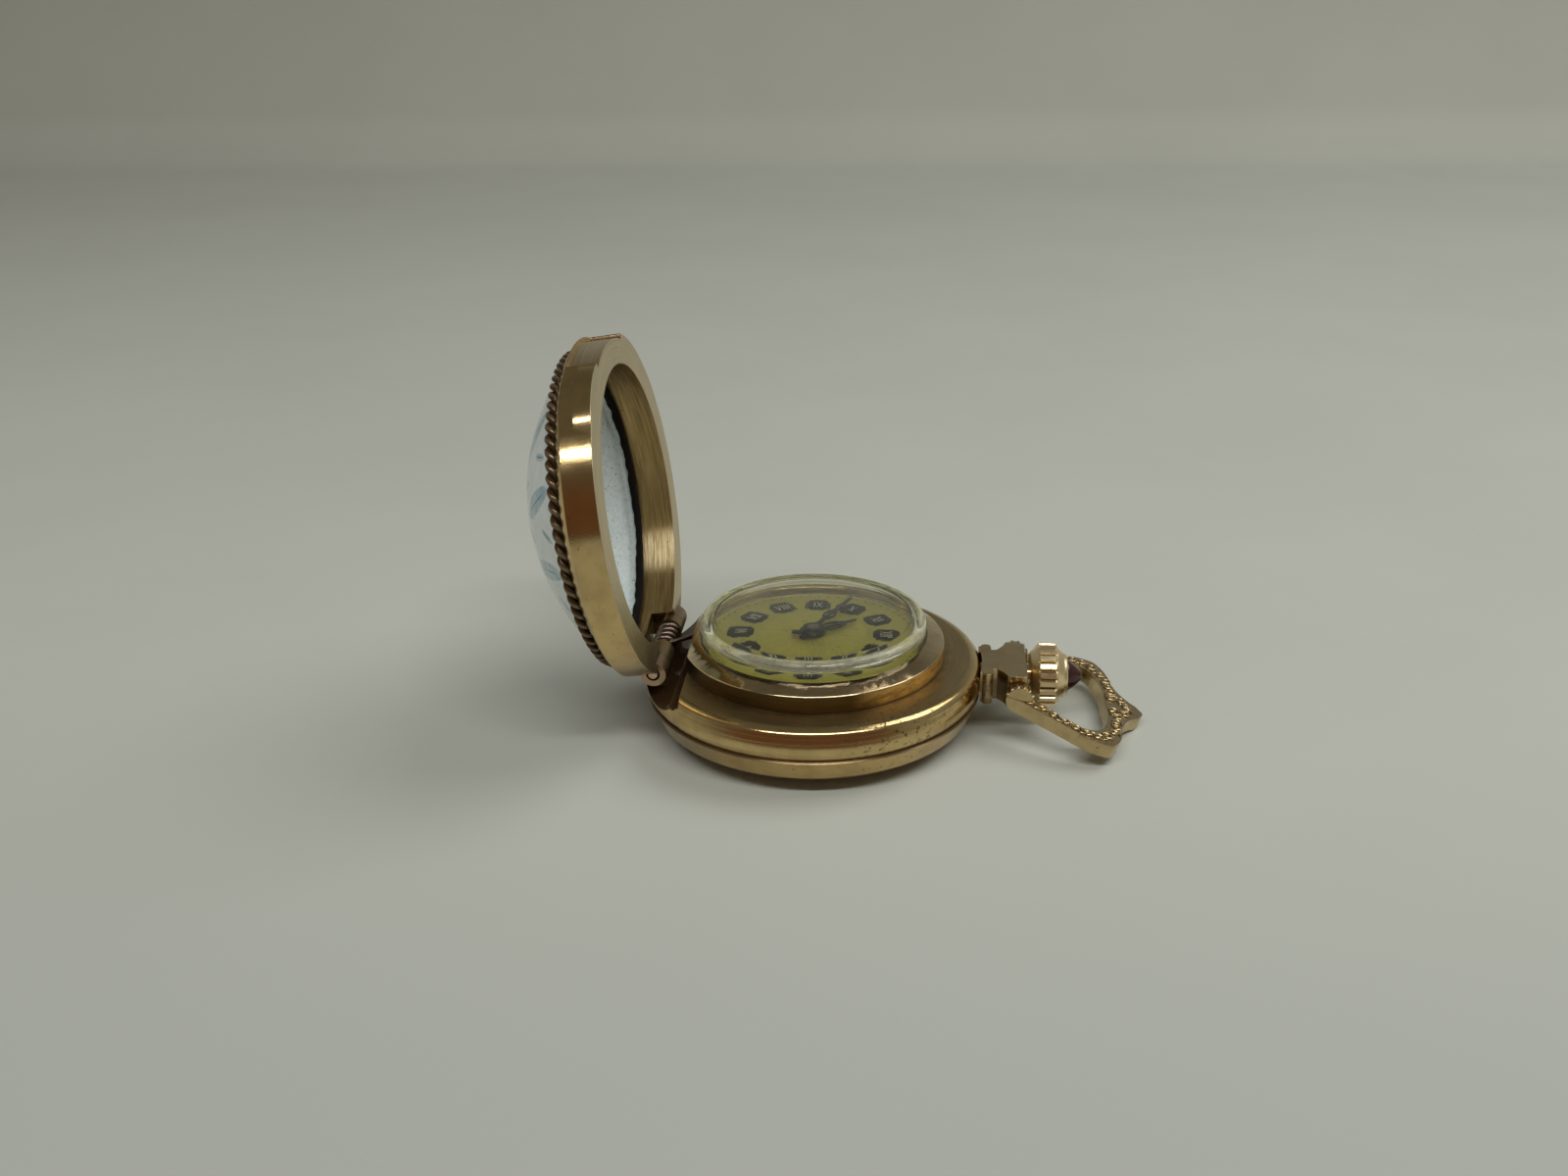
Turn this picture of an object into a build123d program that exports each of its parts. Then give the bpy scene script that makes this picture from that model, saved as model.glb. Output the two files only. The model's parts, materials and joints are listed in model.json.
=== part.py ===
from build123d import *
import os
from math import atan2, cos, degrees, hypot, radians, sin, sqrt

os.makedirs("parts", exist_ok=True)

# Pendant watch with a sprung enamel lid. Millimetres.
# Origin: axis of the round case, on the flat middle of its domed back. +Z out of the dial.
# +X is twelve o'clock, through the pendant, the crown and the bow. -X is the hinge at six.

# Driving dimensions: the movement, and the case round it as shares of the movement's radius
MOVEMENT_R = 8.0
CASE_SHARE = 1.75         # case band at its widest
BORE_SHARE = 1.2          # bore of the band, which holds the casing ring
BEZEL_SHARE = 1.35625     # outside of the bezel
CRYSTAL_SHARE = 1.16875
LID_OPEN_DEG = 98.18      # how far the lid stands open at rest
CROWN_R = 2.65            # over the flutes
PENDANT_HALF = 3.2        # half width of the neck, which the bow straddles
BOW_SHARE = 3.46875       # pivot to the pointed tip of the bow, to the neck's half width

# Clearances and fits
RUN = 0.04                # running fit, on the radius
SLIP = 0.05               # pieces that slip together without load
SEAT = 0.03               # parted faces that lie on each other
FREE = 0.12               # free space round something that moves
OVERRUN = 1.0             # cuts run this far past what they cut
SEAM = 0.12               # broken edge at a seam

CASE_R = MOVEMENT_R * CASE_SHARE
BORE_R = MOVEMENT_R * BORE_SHARE
BEZEL_R = MOVEMENT_R * BEZEL_SHARE
CRYSTAL_R = MOVEMENT_R * CRYSTAL_SHARE
BOW_LENGTH = PENDANT_HALF * BOW_SHARE

# Heights, counted up from the case back
BACK_DOME = 1.0           # the back swells this far below the edge of its dome
COVER_THICK = 0.7         # back cover
CAP_SPACE = 0.52          # under the winding wheels
WIND_THICK = 0.3          # crown wheel and ratchet wheel
LEVEL_GAP = 0.08          # between pieces that turn past each other
BRIDGE_THICK = 0.6
WHEEL_GAP = 0.14          # bridge to centre wheel
CENTRE_THICK = 0.22
FOURTH_GAP = 0.12
FOURTH_THICK = 0.18
THIRD_GAP = 0.28
THIRD_THICK = 0.2
ESCAPE_THICK = 0.2
DRUM_GAP = 0.52           # bridge to barrel
DRUM_TALL = 1.18
DRUM_TEETH_TALL = 0.3
PLATE_GAP = 0.4           # escape wheel to plate
PLATE_THICK = 1.3
MOTION_THICK = 0.16       # minute wheel
HOUR_WHEEL_THICK = 0.18
DIAL_GAP = 0.13           # hour wheel to dial
DIAL_THICK = 0.35
SHOULDER_DROP = 1.25      # the dial's face stands this far above the case's shoulder
FACE_DROP = 0.138333      # the crown wheel's face teeth lie this far below the bridge's top
WIND_LOW_Z = BACK_DOME + COVER_THICK + CAP_SPACE
WIND_TOP_Z = WIND_LOW_Z + WIND_THICK
BRIDGE_LOW_Z = WIND_TOP_Z + LEVEL_GAP
BRIDGE_TOP_Z = BRIDGE_LOW_Z + BRIDGE_THICK
CENTRE_LOW_Z = BRIDGE_TOP_Z + WHEEL_GAP
CENTRE_TOP_Z = CENTRE_LOW_Z + CENTRE_THICK
FOURTH_LOW_Z = CENTRE_TOP_Z + FOURTH_GAP
FOURTH_TOP_Z = FOURTH_LOW_Z + FOURTH_THICK
THIRD_LOW_Z = FOURTH_TOP_Z + THIRD_GAP
THIRD_TOP_Z = THIRD_LOW_Z + THIRD_THICK
ESCAPE_LOW_Z = THIRD_TOP_Z + LEVEL_GAP
ESCAPE_TOP_Z = ESCAPE_LOW_Z + ESCAPE_THICK
DRUM_LOW_Z = BRIDGE_TOP_Z + DRUM_GAP
DRUM_TOP_Z = DRUM_LOW_Z + DRUM_TALL
DRUM_TEETH_Z = DRUM_TOP_Z - DRUM_TEETH_TALL
PLATE_LOW_Z = ESCAPE_TOP_Z + PLATE_GAP
PLATE_TOP_Z = PLATE_LOW_Z + PLATE_THICK
MOTION_LOW_Z = PLATE_TOP_Z + LEVEL_GAP
MOTION_TOP_Z = MOTION_LOW_Z + MOTION_THICK
HOUR_WHEEL_LOW_Z = MOTION_TOP_Z + LEVEL_GAP
HOUR_WHEEL_TOP_Z = HOUR_WHEEL_LOW_Z + HOUR_WHEEL_THICK
DIAL_Z = HOUR_WHEEL_TOP_Z + DIAL_GAP + DIAL_THICK
SHOULDER_Z = DIAL_Z - SHOULDER_DROP

# Winding gear: its size sets the height of the stem's axis
FACE_TEETH, WINDING_TEETH = 18, 19
FACE_SHARE = 0.17625      # middle of the crown wheel's face teeth, to the movement's radius
FACE_R = MOVEMENT_R * FACE_SHARE
WINDING_R = FACE_R * WINDING_TEETH / FACE_TEETH
FACE_Z = BRIDGE_TOP_Z - FACE_DROP
STEM_Z = FACE_Z + WINDING_R

# Hinge, and the places along the neck
HINGE_INSET = 1.45        # hinge axis inside the band's widest radius
HINGE_RISE = 0.48         # hinge axis above the shoulder
HINGE_X = HINGE_INSET - CASE_R
HINGE_Z = SHOULDER_Z + HINGE_RISE
HINGE_HALF = 5.8          # half the length of the hinge
CROWN_OUT = 3.95          # back face of the crown, outside the band
PIVOT_OUT = 2.9           # the bow's pivot, outside the band
PIVOT_DROP = 0.2          # and below the stem's axis
CROWN_BACK_X = CASE_R + CROWN_OUT
BOW_PIVOT_X = CASE_R + PIVOT_OUT
BOW_PIVOT_Z = STEM_Z - PIVOT_DROP

LOW = (Align.CENTER, Align.CENTER, Align.MIN)
CORNER = (Align.MIN, Align.MIN, Align.MIN)


def rod(radius, low, high, place=(0, 0)):
    """Upright cylinder between two heights."""
    return Pos(place[0], place[1], low) * Cylinder(radius, high - low, align=LOW)


def tube(outer, inner, low, high, place=(0, 0)):
    """Upright ring between two heights."""
    return rod(outer, low, high, place) - rod(inner, low - OVERRUN, high + OVERRUN, place)


def rod_x(radius, start, end, z=STEM_Z):
    """Cylinder along X."""
    return Pos(start, 0, z) * Rot(0, 90, 0) * Cylinder(radius, end - start, align=LOW)


def rod_y(radius, start, end, x=HINGE_X, z=HINGE_Z):
    """Cylinder along Y."""
    return Pos(x, start, z) * Rot(-90, 0, 0) * Cylinder(radius, end - start, align=LOW)


def block(x, y, z):
    """Box between pairs of limits along each axis."""
    return Pos(x[0], y[0], z[0]) * Box(x[1] - x[0], y[1] - y[0], z[1] - z[0], align=CORNER)


def turned(*edges):
    """Solid of revolution about Z from the edges of a closed profile of (radius, height)."""
    return revolve(Plane.XZ * make_face(Curve() + list(edges)), Axis.Z)


def turned_x(*points):
    """Solid of revolution about the stem's axis from a closed profile of (x, radius)."""
    profile = Plane.XZ * make_face(Polyline(*points, close=True))
    return Pos(0, 0, STEM_Z) * revolve(profile, Axis.X)


def polar(radius, angle, centre=(0, 0)):
    """Point at a radius and an angle in degrees about a centre."""
    return (centre[0] + radius * cos(radians(angle)), centre[1] + radius * sin(radians(angle)))


def heading(start, end):
    """Angle in degrees from one point to another."""
    return degrees(atan2(end[1] - start[1], end[0] - start[0]))


def distance(a, b):
    return hypot(b[0] - a[0], b[1] - a[1])


def save(solid, name):
    """Write one sub-part as it lies in the watch at rest."""
    export_step(solid, f"parts/{name}.step")


# Case band
SEAM_RISE = 2.45          # seam between back cover and band, above the edge of the back's dome
BAND_FLARE = 0.65         # height over which the band widens from the seam
BAND_STEP = 0.3           # by how much it widens
BAND_FILLET = 1.0         # polished round between wall and shoulder
RIM_STEP = 1.3            # rim that the back cover snaps over, inside the band
RIM_TALL = 0.7
TROUGH_R = 2.2            # trough round the hinge
TROUGH_FLAT = 0.85        # depth of the flat that the trough's wall cuts on the bezel
TROUGH_DEPTH = 0.95
TROUGH_ROUND = 0.8
KNUCKLE_R = 1.04
HINGE_PIN_R = 0.43
NEAR_KNUCKLE = (-3.8, -1.35)   # the band's knuckles, as spans along Y
FAR_KNUCKLE = (2.65, 3.8)
KNUCKLE_WEB = 0.85        # half thickness of a knuckle's foot
SLEEVE_R = 0.95           # sleeve that the stem passes through
SEAM_Z = BACK_DOME + SEAM_RISE
BAND_FULL_Z = SEAM_Z + BAND_FLARE
BAND_FOOT_R = CASE_R - BAND_STEP
RIM_R = CASE_R - RIM_STEP
RIM_Z = SEAM_Z - RIM_TALL
CHORD_X = TROUGH_FLAT - BEZEL_R
TROUGH_FLOOR_Z = SHOULDER_Z - TROUGH_DEPTH


def trough():
    """Space cut through the band for the hinge and for the lid's edge as it swings."""
    cove = rod_y(TROUGH_R, -CASE_R, CASE_R)
    floor = block((HINGE_X, CHORD_X), (-CASE_R, CASE_R), (TROUGH_FLOOR_Z, CRYSTAL_TOP_Z))
    corner = floor.edges().filter_by(Axis.Y).group_by(Axis.Z)[0].sort_by(Axis.X)[-1]
    return cove + fillet(corner, TROUGH_ROUND)


def band_knuckle(span):
    """Knuckle on its foot, standing in the trough."""
    sides = (HINGE_X - KNUCKLE_WEB, HINGE_X + KNUCKLE_WEB)
    foot = block(sides, span, (SEAM_Z + SEAM, HINGE_Z))
    return rod_y(KNUCKLE_R, *span) + foot


def case_band():
    """Band with the satin shoulder, the snap rim below and the hinge trough."""
    wall_top = SHOULDER_Z - BAND_FILLET
    round_mid = polar(BAND_FILLET, 45, (CASE_R - BAND_FILLET, wall_top))
    rim = Polyline((BORE_R, RIM_Z), (RIM_R - SEAM, RIM_Z), (RIM_R, RIM_Z + SEAM), (RIM_R, SEAM_Z),
                   (BAND_FOOT_R, SEAM_Z), (CASE_R, BAND_FULL_Z), (CASE_R, wall_top))
    edge = ThreePointArc((CASE_R, wall_top), round_mid, (CASE_R - BAND_FILLET, SHOULDER_Z))
    shoulder = Polyline((CASE_R - BAND_FILLET, SHOULDER_Z), (BORE_R, SHOULDER_Z), (BORE_R, RIM_Z))
    body = turned(rim, edge, shoulder) - trough()
    for span in (NEAR_KNUCKLE, FAR_KNUCKLE):
        body += band_knuckle(span) & rod(CASE_R - SEAM, SEAM_Z, HINGE_Z + KNUCKLE_R)
    body -= rod_y(HINGE_PIN_R + RUN, -CASE_R, CASE_R)
    return body - rod_x(SLEEVE_R, 0, CASE_R + OVERRUN)


# Back cover
BACK_FLAT_R = 5.0         # flat middle that the watch lies on
BACK_ROLL = 2.0           # from the edge of the dome to the widest radius
BACK_ROUND = 1.25         # width of the round that follows the dome
BACK_EDGE_RISE = 0.8      # and its height
BACK_DOME_R = CASE_R - BACK_ROLL
BACK_EDGE_R = BACK_DOME_R + BACK_ROUND
BACK_EDGE_Z = BACK_DOME + BACK_EDGE_RISE


def back_cover():
    """Snap cover, a shallow dome with a flat middle, rounded up to the seam."""
    inner_r = RIM_R + SLIP
    top = SEAM_Z - SEAT
    level = (1, 0)
    dome = TangentArc((BACK_FLAT_R, 0), (BACK_DOME_R, BACK_DOME), tangent=level)
    roll = TangentArc(dome @ 1, (BACK_EDGE_R, BACK_EDGE_Z), tangent=dome % 1)
    outside = (roll @ 1, (CASE_R - SEAM, top - SEAM), (CASE_R - SEAM - SEAM, top))
    inside = ((inner_r, top), (inner_r, RIM_Z - SEAM), (BACK_DOME_R, BACK_DOME + COVER_THICK))
    hollow = TangentArc((BACK_FLAT_R, COVER_THICK), inside[-1], tangent=level)
    middle = Polyline((BACK_FLAT_R, COVER_THICK), (0, COVER_THICK), (0, 0), (BACK_FLAT_R, 0))
    return turned(middle, dome, roll, Polyline(*outside, *inside), hollow)


# Bezel, crystal, dial and the casing ring under it
BEZEL_TALL = 1.95         # above the shoulder
BEZEL_SLOPE = 0.55        # height of the polished slope
LIP_THICK = 0.27          # lip of the bezel over the crystal's flange
FLANGE_WIDE = 0.25        # the crystal's flange beyond its wall
CRYSTAL_TALL = 2.47       # crystal above the dial
CRYSTAL_WALL = 0.75
CRYSTAL_BEND = 0.9        # width of the round between the crystal's wall and top
CRYSTAL_RISE = 0.35       # doming of the crystal's top
BEND_DEG = 50             # point by which that round is drawn
DIAL_RIM = 0.1            # gap between the dial and the band's bore
DIAL_HOLE_R = 0.95
DIAL_FOOT_R = 0.35
DIAL_FOOT_SHARE = 0.9125  # place of the dial's feet, to the movement's radius
DIAL_FOOT_ANGLES = (128, 250)
DIAL_FOOT_LENGTH = 1.6
CASING_RIM = 0.6          # the casing ring's upper rim opens this much wider than the movement
CASING_RISE = 2.0         # the casing ring begins this far above the edge of the back's dome
NUMERAL_COUNT = 12
NUMERAL_SHARE = 0.75875   # middle of the hour plaques, to the movement's radius
NUMERAL_LONG_SHARE = 0.26875
NUMERAL_WIDE_SHARE = 0.21875
NUMERAL_THICK = 0.06
NUMERAL_ROUND_SHARE = 0.2  # corner of a plaque, to its width
BEZEL_TOP_Z = SHOULDER_Z + BEZEL_TALL
BEZEL_WALL_Z = BEZEL_TOP_Z - BEZEL_SLOPE
LIP_Z = BEZEL_TOP_Z - LIP_THICK
FLANGE_R = CRYSTAL_R + FLANGE_WIDE
GROOVE_R = FLANGE_R + SLIP
CRYSTAL_TOP_Z = DIAL_Z + CRYSTAL_TALL
CRYSTAL_TOP_R = CRYSTAL_R - CRYSTAL_BEND
DIAL_R = BORE_R - DIAL_RIM
CASING_LOW_Z = BACK_DOME + CASING_RISE
DIAL_FOOT_PLACE_R = MOVEMENT_R * DIAL_FOOT_SHARE
CASING_RIM_R = MOVEMENT_R + CASING_RIM
NUMERAL_R = MOVEMENT_R * NUMERAL_SHARE
NUMERAL_LONG = MOVEMENT_R * NUMERAL_LONG_SHARE
NUMERAL_WIDE = MOVEMENT_R * NUMERAL_WIDE_SHARE
NUMERAL_ROUND = NUMERAL_WIDE * NUMERAL_ROUND_SHARE


def bezel_ring():
    """Brushed wall and polished slope, with a groove for the crystal and a flat at the hinge."""
    lip_r = CRYSTAL_R + SLIP
    outside = ((GROOVE_R, SHOULDER_Z), (BEZEL_R, SHOULDER_Z), (BEZEL_R, BEZEL_WALL_Z))
    lip = ((lip_r + SEAM, BEZEL_TOP_Z), (lip_r, BEZEL_TOP_Z), (lip_r, LIP_Z), (GROOVE_R, LIP_Z))
    return turned(Polyline(*outside, *lip, close=True)) - trough()


def crystal_cap():
    """Clear crystal, a hollow cap with a flange under the bezel's lip."""
    low = DIAL_Z + SEAT
    flange_top = LIP_Z - SEAT
    inner_r = CRYSTAL_R - CRYSTAL_WALL
    edge_z = CRYSTAL_TOP_Z - CRYSTAL_RISE
    ball_r = (CRYSTAL_TOP_R ** 2 + CRYSTAL_RISE ** 2) / (2 * CRYSTAL_RISE)
    side = (CRYSTAL_R, edge_z - CRYSTAL_WALL)
    turn = radians(BEND_DEG)
    bend = (CRYSTAL_TOP_R + CRYSTAL_BEND * sin(turn), edge_z - CRYSTAL_WALL * (1 - cos(turn)))
    half = CRYSTAL_TOP_R / 2
    crest = (half, CRYSTAL_TOP_Z - ball_r + sqrt(ball_r ** 2 - half ** 2))
    ceiling = edge_z - CRYSTAL_WALL
    foot = ((inner_r, low), (FLANGE_R, low), (FLANGE_R, flange_top), (CRYSTAL_R, flange_top))
    inside = Polyline((0, ceiling), (inner_r, ceiling), *foot, side)
    shoulder = ThreePointArc(side, bend, (CRYSTAL_TOP_R, edge_z))
    dome = ThreePointArc((CRYSTAL_TOP_R, edge_z), crest, (0, CRYSTAL_TOP_Z))
    return turned(inside, shoulder, dome, Line((0, CRYSTAL_TOP_Z), (0, ceiling)))


def dial_disc():
    """Dial on two feet that go into the main plate."""
    low = DIAL_Z - DIAL_THICK
    body = rod(DIAL_R, low, DIAL_Z)
    for angle in DIAL_FOOT_ANGLES:
        body += rod(DIAL_FOOT_R, low - DIAL_FOOT_LENGTH, low, polar(DIAL_FOOT_PLACE_R, angle))
    return body - rod(DIAL_HOLE_R, low - OVERRUN, DIAL_Z + OVERRUN)


def hour_plaques():
    """Twelve rounded plaques, wider at the dial's edge, that carry the hour figures."""
    inner, outer = NUMERAL_R - NUMERAL_LONG / 2, NUMERAL_R + NUMERAL_LONG / 2
    half_out = NUMERAL_WIDE / 2
    half_in = half_out * inner / NUMERAL_R
    corners = ((inner, -half_in), (outer, -half_out), (outer, half_out), (inner, half_in))
    outline = make_face(Polyline(*corners, close=True))
    plaque = extrude(fillet(outline.vertices(), NUMERAL_ROUND), NUMERAL_THICK)
    step = 360 / NUMERAL_COUNT
    places = [Pos(0, 0, DIAL_Z) * Rot(0, 0, number * step) for number in range(NUMERAL_COUNT)]
    return Part() + [place * plaque for place in places]


def casing_ring():
    """Ring that centres the movement in the band and carries the dial's edge."""
    outer_r = BORE_R - SLIP
    body = tube(outer_r, MOVEMENT_R + SLIP, CASING_LOW_Z, PLATE_TOP_Z)
    body += tube(outer_r, CASING_RIM_R, PLATE_TOP_Z, DIAL_Z - DIAL_THICK)
    return body - rod_x(SLEEVE_R, 0, CASE_R)


# Hands, showing eleven minutes to eleven
MINUTE_HAND_DEG = 66.0    # measured from twelve o'clock towards nine
HOUR_HAND_DEG = 35.5
HAND_THICK = 0.14
HOUR_HAND_RISE = 0.2      # hour hand above the dial
MINUTE_HAND_RISE = 0.52
HOUR_HAND_SHARE = 0.535   # length of the hour hand, to the movement's radius
MINUTE_HAND_SHARE = 0.9
HOUR_TUBE_R = 0.78        # pipe of the hour wheel
CANNON_R = 0.5            # pipe of the cannon pinion
CENTRE_PIVOT_R = 0.25
HUB_RIM = 0.35            # boss of a hand round its hole
HOUR_LEAF = 1.3           # width of the hour hand's pierced leaf
MINUTE_LEAF = 1.05
LEAF_RIM = 0.24           # metal left round the piercings
HAND_STEM = 0.36          # width of a hand's stem
HAND_TIP = 0.14
HAND_TAIL = 1.5
TAIL_SPREAD_DEG = 24
TAIL_BULB_SHARE = 0.8     # round end of a tail, to the hand's stem
LEAF_PLACE_SHARE = 0.42   # middle of the leaf along the hand
LEAF_LONG_SHARE = 0.95    # half length of the leaf, to its width
BEAD_PLACE_SHARE = 0.68
HOUR_HAND_Z = DIAL_Z + HOUR_HAND_RISE
MINUTE_HAND_Z = DIAL_Z + MINUTE_HAND_RISE
HOUR_HAND_LONG = MOVEMENT_R * HOUR_HAND_SHARE
MINUTE_HAND_LONG = MOVEMENT_R * MINUTE_HAND_SHARE


def pierced_hand(length, leaf, hole_r, angle, low):
    """Ornate hand: hub, waisted stem, pierced leaf, bead, fine tip and two scrolled tails."""
    hub_r = hole_r + HUB_RIM
    leaf_x = length * LEAF_PLACE_SHARE
    leaf_half = leaf * LEAF_LONG_SHARE
    bead_x = length * BEAD_PLACE_SHARE
    outline = Circle(hub_r)
    outline += Pos(leaf_x, 0) * Ellipse(leaf_half, leaf / 2)
    outline += Pos(bead_x, 0) * Circle(HAND_STEM)
    near = ((0, -HAND_STEM / 2), (bead_x, -HAND_STEM / 2), (length, -HAND_TIP / 2))
    far = ((length, HAND_TIP / 2), (bead_x, HAND_STEM / 2), (0, HAND_STEM / 2))
    outline += make_face(Polyline(*near, *far, close=True))
    for side in (-1, 1):
        tail = Pos(HAND_TAIL / 2, 0) * Rectangle(HAND_TAIL, HAND_STEM)
        tail += Pos(HAND_TAIL, 0) * Circle(HAND_STEM * TAIL_BULB_SHARE)
        outline += Rot(0, 0, 180 + side * TAIL_SPREAD_DEG) * tail
        eye = Pos(leaf_x, side * leaf / 4) * Ellipse(leaf_half - LEAF_RIM * 2, leaf / 4 - LEAF_RIM / 2)
        outline -= eye - Pos(leaf_x, 0) * Rectangle(length, LEAF_RIM)
    outline -= Circle(hole_r)
    return Pos(0, 0, low) * Rot(0, 0, angle) * extrude(outline, HAND_THICK)


# Lid, modelled closed and then swung open
LID_SEAT_Z = SHOULDER_Z + SEAT
LID_INSET = 0.2           # the lid's outside, inside the band's
LID_FACE = 2.46           # width of the lid's satin face
LID_WALL = 2.45           # height of the lid's outer wall
LID_BEVEL = 0.65          # width of the bevel outside the rope border
LID_LEDGE = 2.85          # depth of the bore, up to the ledge that carries the enamel
ROPE_TUBE = 0.6
LID_R = CASE_R - LID_INSET
LID_BORE_R = LID_R - LID_FACE
LID_RIM_R = LID_R - LID_BEVEL
ROPE_R = LID_RIM_R - SEAM - ROPE_TUBE - SEAT   # centre of the rope border
ENAMEL_R = ROPE_R - ROPE_TUBE - FREE
ENAMEL_EDGE = 4.1         # edge of the enamel dome above the lid's face
ENAMEL_TOP = 8.68
ENAMEL_THICK = 0.5
CEMENT_LIP = 0.39         # the cement shows inside the lid's bore by this much
CEMENT_TOP = 3.3
RECESS_DEG = 20           # recess over the pendant at the lid's free end, to each side of the middle
RECESS_DEPTH = 0.45
CATCH_DEG = -33           # middle of the thumb catch beside the recess: a lip under a flat
CATCH_HALF_DEG = 12.5
CATCH_LIP = 0.35          # the lip stands out this far
CATCH_TALL = 1.35
CATCH_ROUND = 7.0         # round of the lip, seen from above
NOTCH = (-3.85, 3.85)     # notch for the band's knuckles and the spring
NOTCH_R = 1.6             # clear width inside the hinge's axis in the notch
NOTCH_TOP = 1.85


def swung_open(shape):
    """Turn a piece of the closed lid to where the open lid stands."""
    return Pos(HINGE_X, 0, HINGE_Z) * Rot(0, -LID_OPEN_DEG, 0) * Pos(-HINGE_X, 0, -HINGE_Z) * shape


def lid_ring():
    """Lid's ring: bore, ledge for the enamel, bevelled rim, recess, thumb catch and outer knuckles."""
    low = LID_SEAT_Z
    ledge = SHOULDER_Z + LID_LEDGE
    outside = ((LID_BORE_R, low), (LID_R, low), (LID_R, SHOULDER_Z + LID_WALL))
    rim = ((LID_RIM_R, ledge + SEAM), (LID_RIM_R - SEAM, ledge), (LID_BORE_R, ledge))
    body = turned(Polyline(*outside, *rim, close=True))
    recess = tube(LID_R + OVERRUN, LID_R - RECESS_DEPTH, low - OVERRUN, ledge)
    far_r = LID_R + CASE_R
    wedge = make_face(Polyline((0, 0), polar(far_r, -RECESS_DEG), polar(far_r, RECESS_DEG), close=True))
    catch_z = low + CATCH_TALL
    flat = (LID_R * cos(radians(CATCH_HALF_DEG)), LID_R + OVERRUN)
    body -= Rot(0, 0, CATCH_DEG) * block(flat, (-LID_R, LID_R), (catch_z, ledge))
    lip = rod(CATCH_ROUND, low, catch_z, polar(LID_R + CATCH_LIP - CATCH_ROUND, CATCH_DEG))
    body += lip - rod(LID_R - SEAM, low - OVERRUN, catch_z + OVERRUN)
    body -= recess & Pos(0, 0, low - OVERRUN) * extrude(wedge, LID_WALL + OVERRUN)
    body -= block((-CASE_R - OVERRUN, HINGE_X + NOTCH_R), NOTCH, (low - OVERRUN, SHOULDER_Z + NOTCH_TOP))
    lug = rod_y(KNUCKLE_R, NOTCH[1], HINGE_HALF)
    lug += block((HINGE_X, HINGE_X + KNUCKLE_R), (NOTCH[1], HINGE_HALF), (HINGE_Z, low + KNUCKLE_R))
    for side in (lug, mirror(lug, Plane.XZ)):
        body += side
    body -= rod_y(HINGE_PIN_R + SEAT, -CASE_R, CASE_R)
    return swung_open(body)


def rope_border():
    """Round border between the lid's rim and the enamel."""
    low = SHOULDER_Z + LID_LEDGE + SEAT
    return swung_open(Pos(0, 0, low + ROPE_TUBE) * Torus(ROPE_R, ROPE_TUBE))


def enamel_dome():
    """Thin enamelled cap, standing on the ledge inside the rope border."""
    foot = SHOULDER_Z + LID_LEDGE + SEAT
    edge = SHOULDER_Z + ENAMEL_EDGE
    top = SHOULDER_Z + ENAMEL_TOP
    rise = top - edge
    ball_r = (ENAMEL_R ** 2 + rise ** 2) / (2 * rise)
    centre_z = top - ball_r
    inner_ball = ball_r - ENAMEL_THICK
    inner_r = ENAMEL_R - ENAMEL_THICK
    inner_edge = centre_z + sqrt(inner_ball ** 2 - inner_r ** 2)
    half = ENAMEL_R / 2
    outer = ThreePointArc((ENAMEL_R, edge), (half, centre_z + sqrt(ball_r ** 2 - half ** 2)), (0, top))
    inner_mid = (half, centre_z + sqrt(inner_ball ** 2 - half ** 2))
    inner = ThreePointArc((0, top - ENAMEL_THICK), inner_mid, (inner_r, inner_edge))
    wall = Polyline((inner_r, inner_edge), (inner_r, foot), (ENAMEL_R, foot), (ENAMEL_R, edge))
    return swung_open(turned(outer, Line((0, top), (0, top - ENAMEL_THICK)), inner, wall))


def cement_bead():
    """Dark cement that holds the enamel's edge inside the lid."""
    low = SHOULDER_Z + LID_LEDGE + SEAT
    outer_r = ENAMEL_R - ENAMEL_THICK - SEAT
    return swung_open(tube(outer_r, LID_BORE_R - CEMENT_LIP, low, SHOULDER_Z + CEMENT_TOP))


def hinge_pin():
    """Pin through all the knuckles."""
    return rod_y(HINGE_PIN_R, -HINGE_HALF, HINGE_HALF)


# Lid spring
SPRING_WIRE_R = 0.24
SPRING_COIL_R = 0.76      # centre of the wire from the hinge axis
SPRING_START_Y = -1.04
SPRING_PITCH = 0.86
SPRING_TURN_COUNT = 4
LEG_R = 0.2
LEG_START = (0.52, -0.95, 0.52)   # from the hinge axis
LEG_END = (0.27, 1.5, 0.1)        # from the trough's wall, at the hinge's height


def lid_spring():
    """Torsion spring round the hinge pin, with a leg that bears on the trough's wall."""
    helix = Helix(SPRING_PITCH, SPRING_PITCH * SPRING_TURN_COUNT, SPRING_COIL_R)
    section = Plane(origin=helix @ 0, z_dir=helix % 0) * Circle(SPRING_WIRE_R)
    coil = sweep(section, path=helix, is_frenet=True)
    start = Vector(HINGE_X, 0, HINGE_Z) + Vector(*LEG_START)
    end = Vector(CHORD_X - LEG_END[0], LEG_END[1], HINGE_Z + LEG_END[2])
    leg = extrude(Plane(origin=start, z_dir=end - start) * Circle(LEG_R), (end - start).length)
    return Pos(HINGE_X, SPRING_START_Y, HINGE_Z) * Rot(-90, 0, 0) * coil + leg


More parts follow.
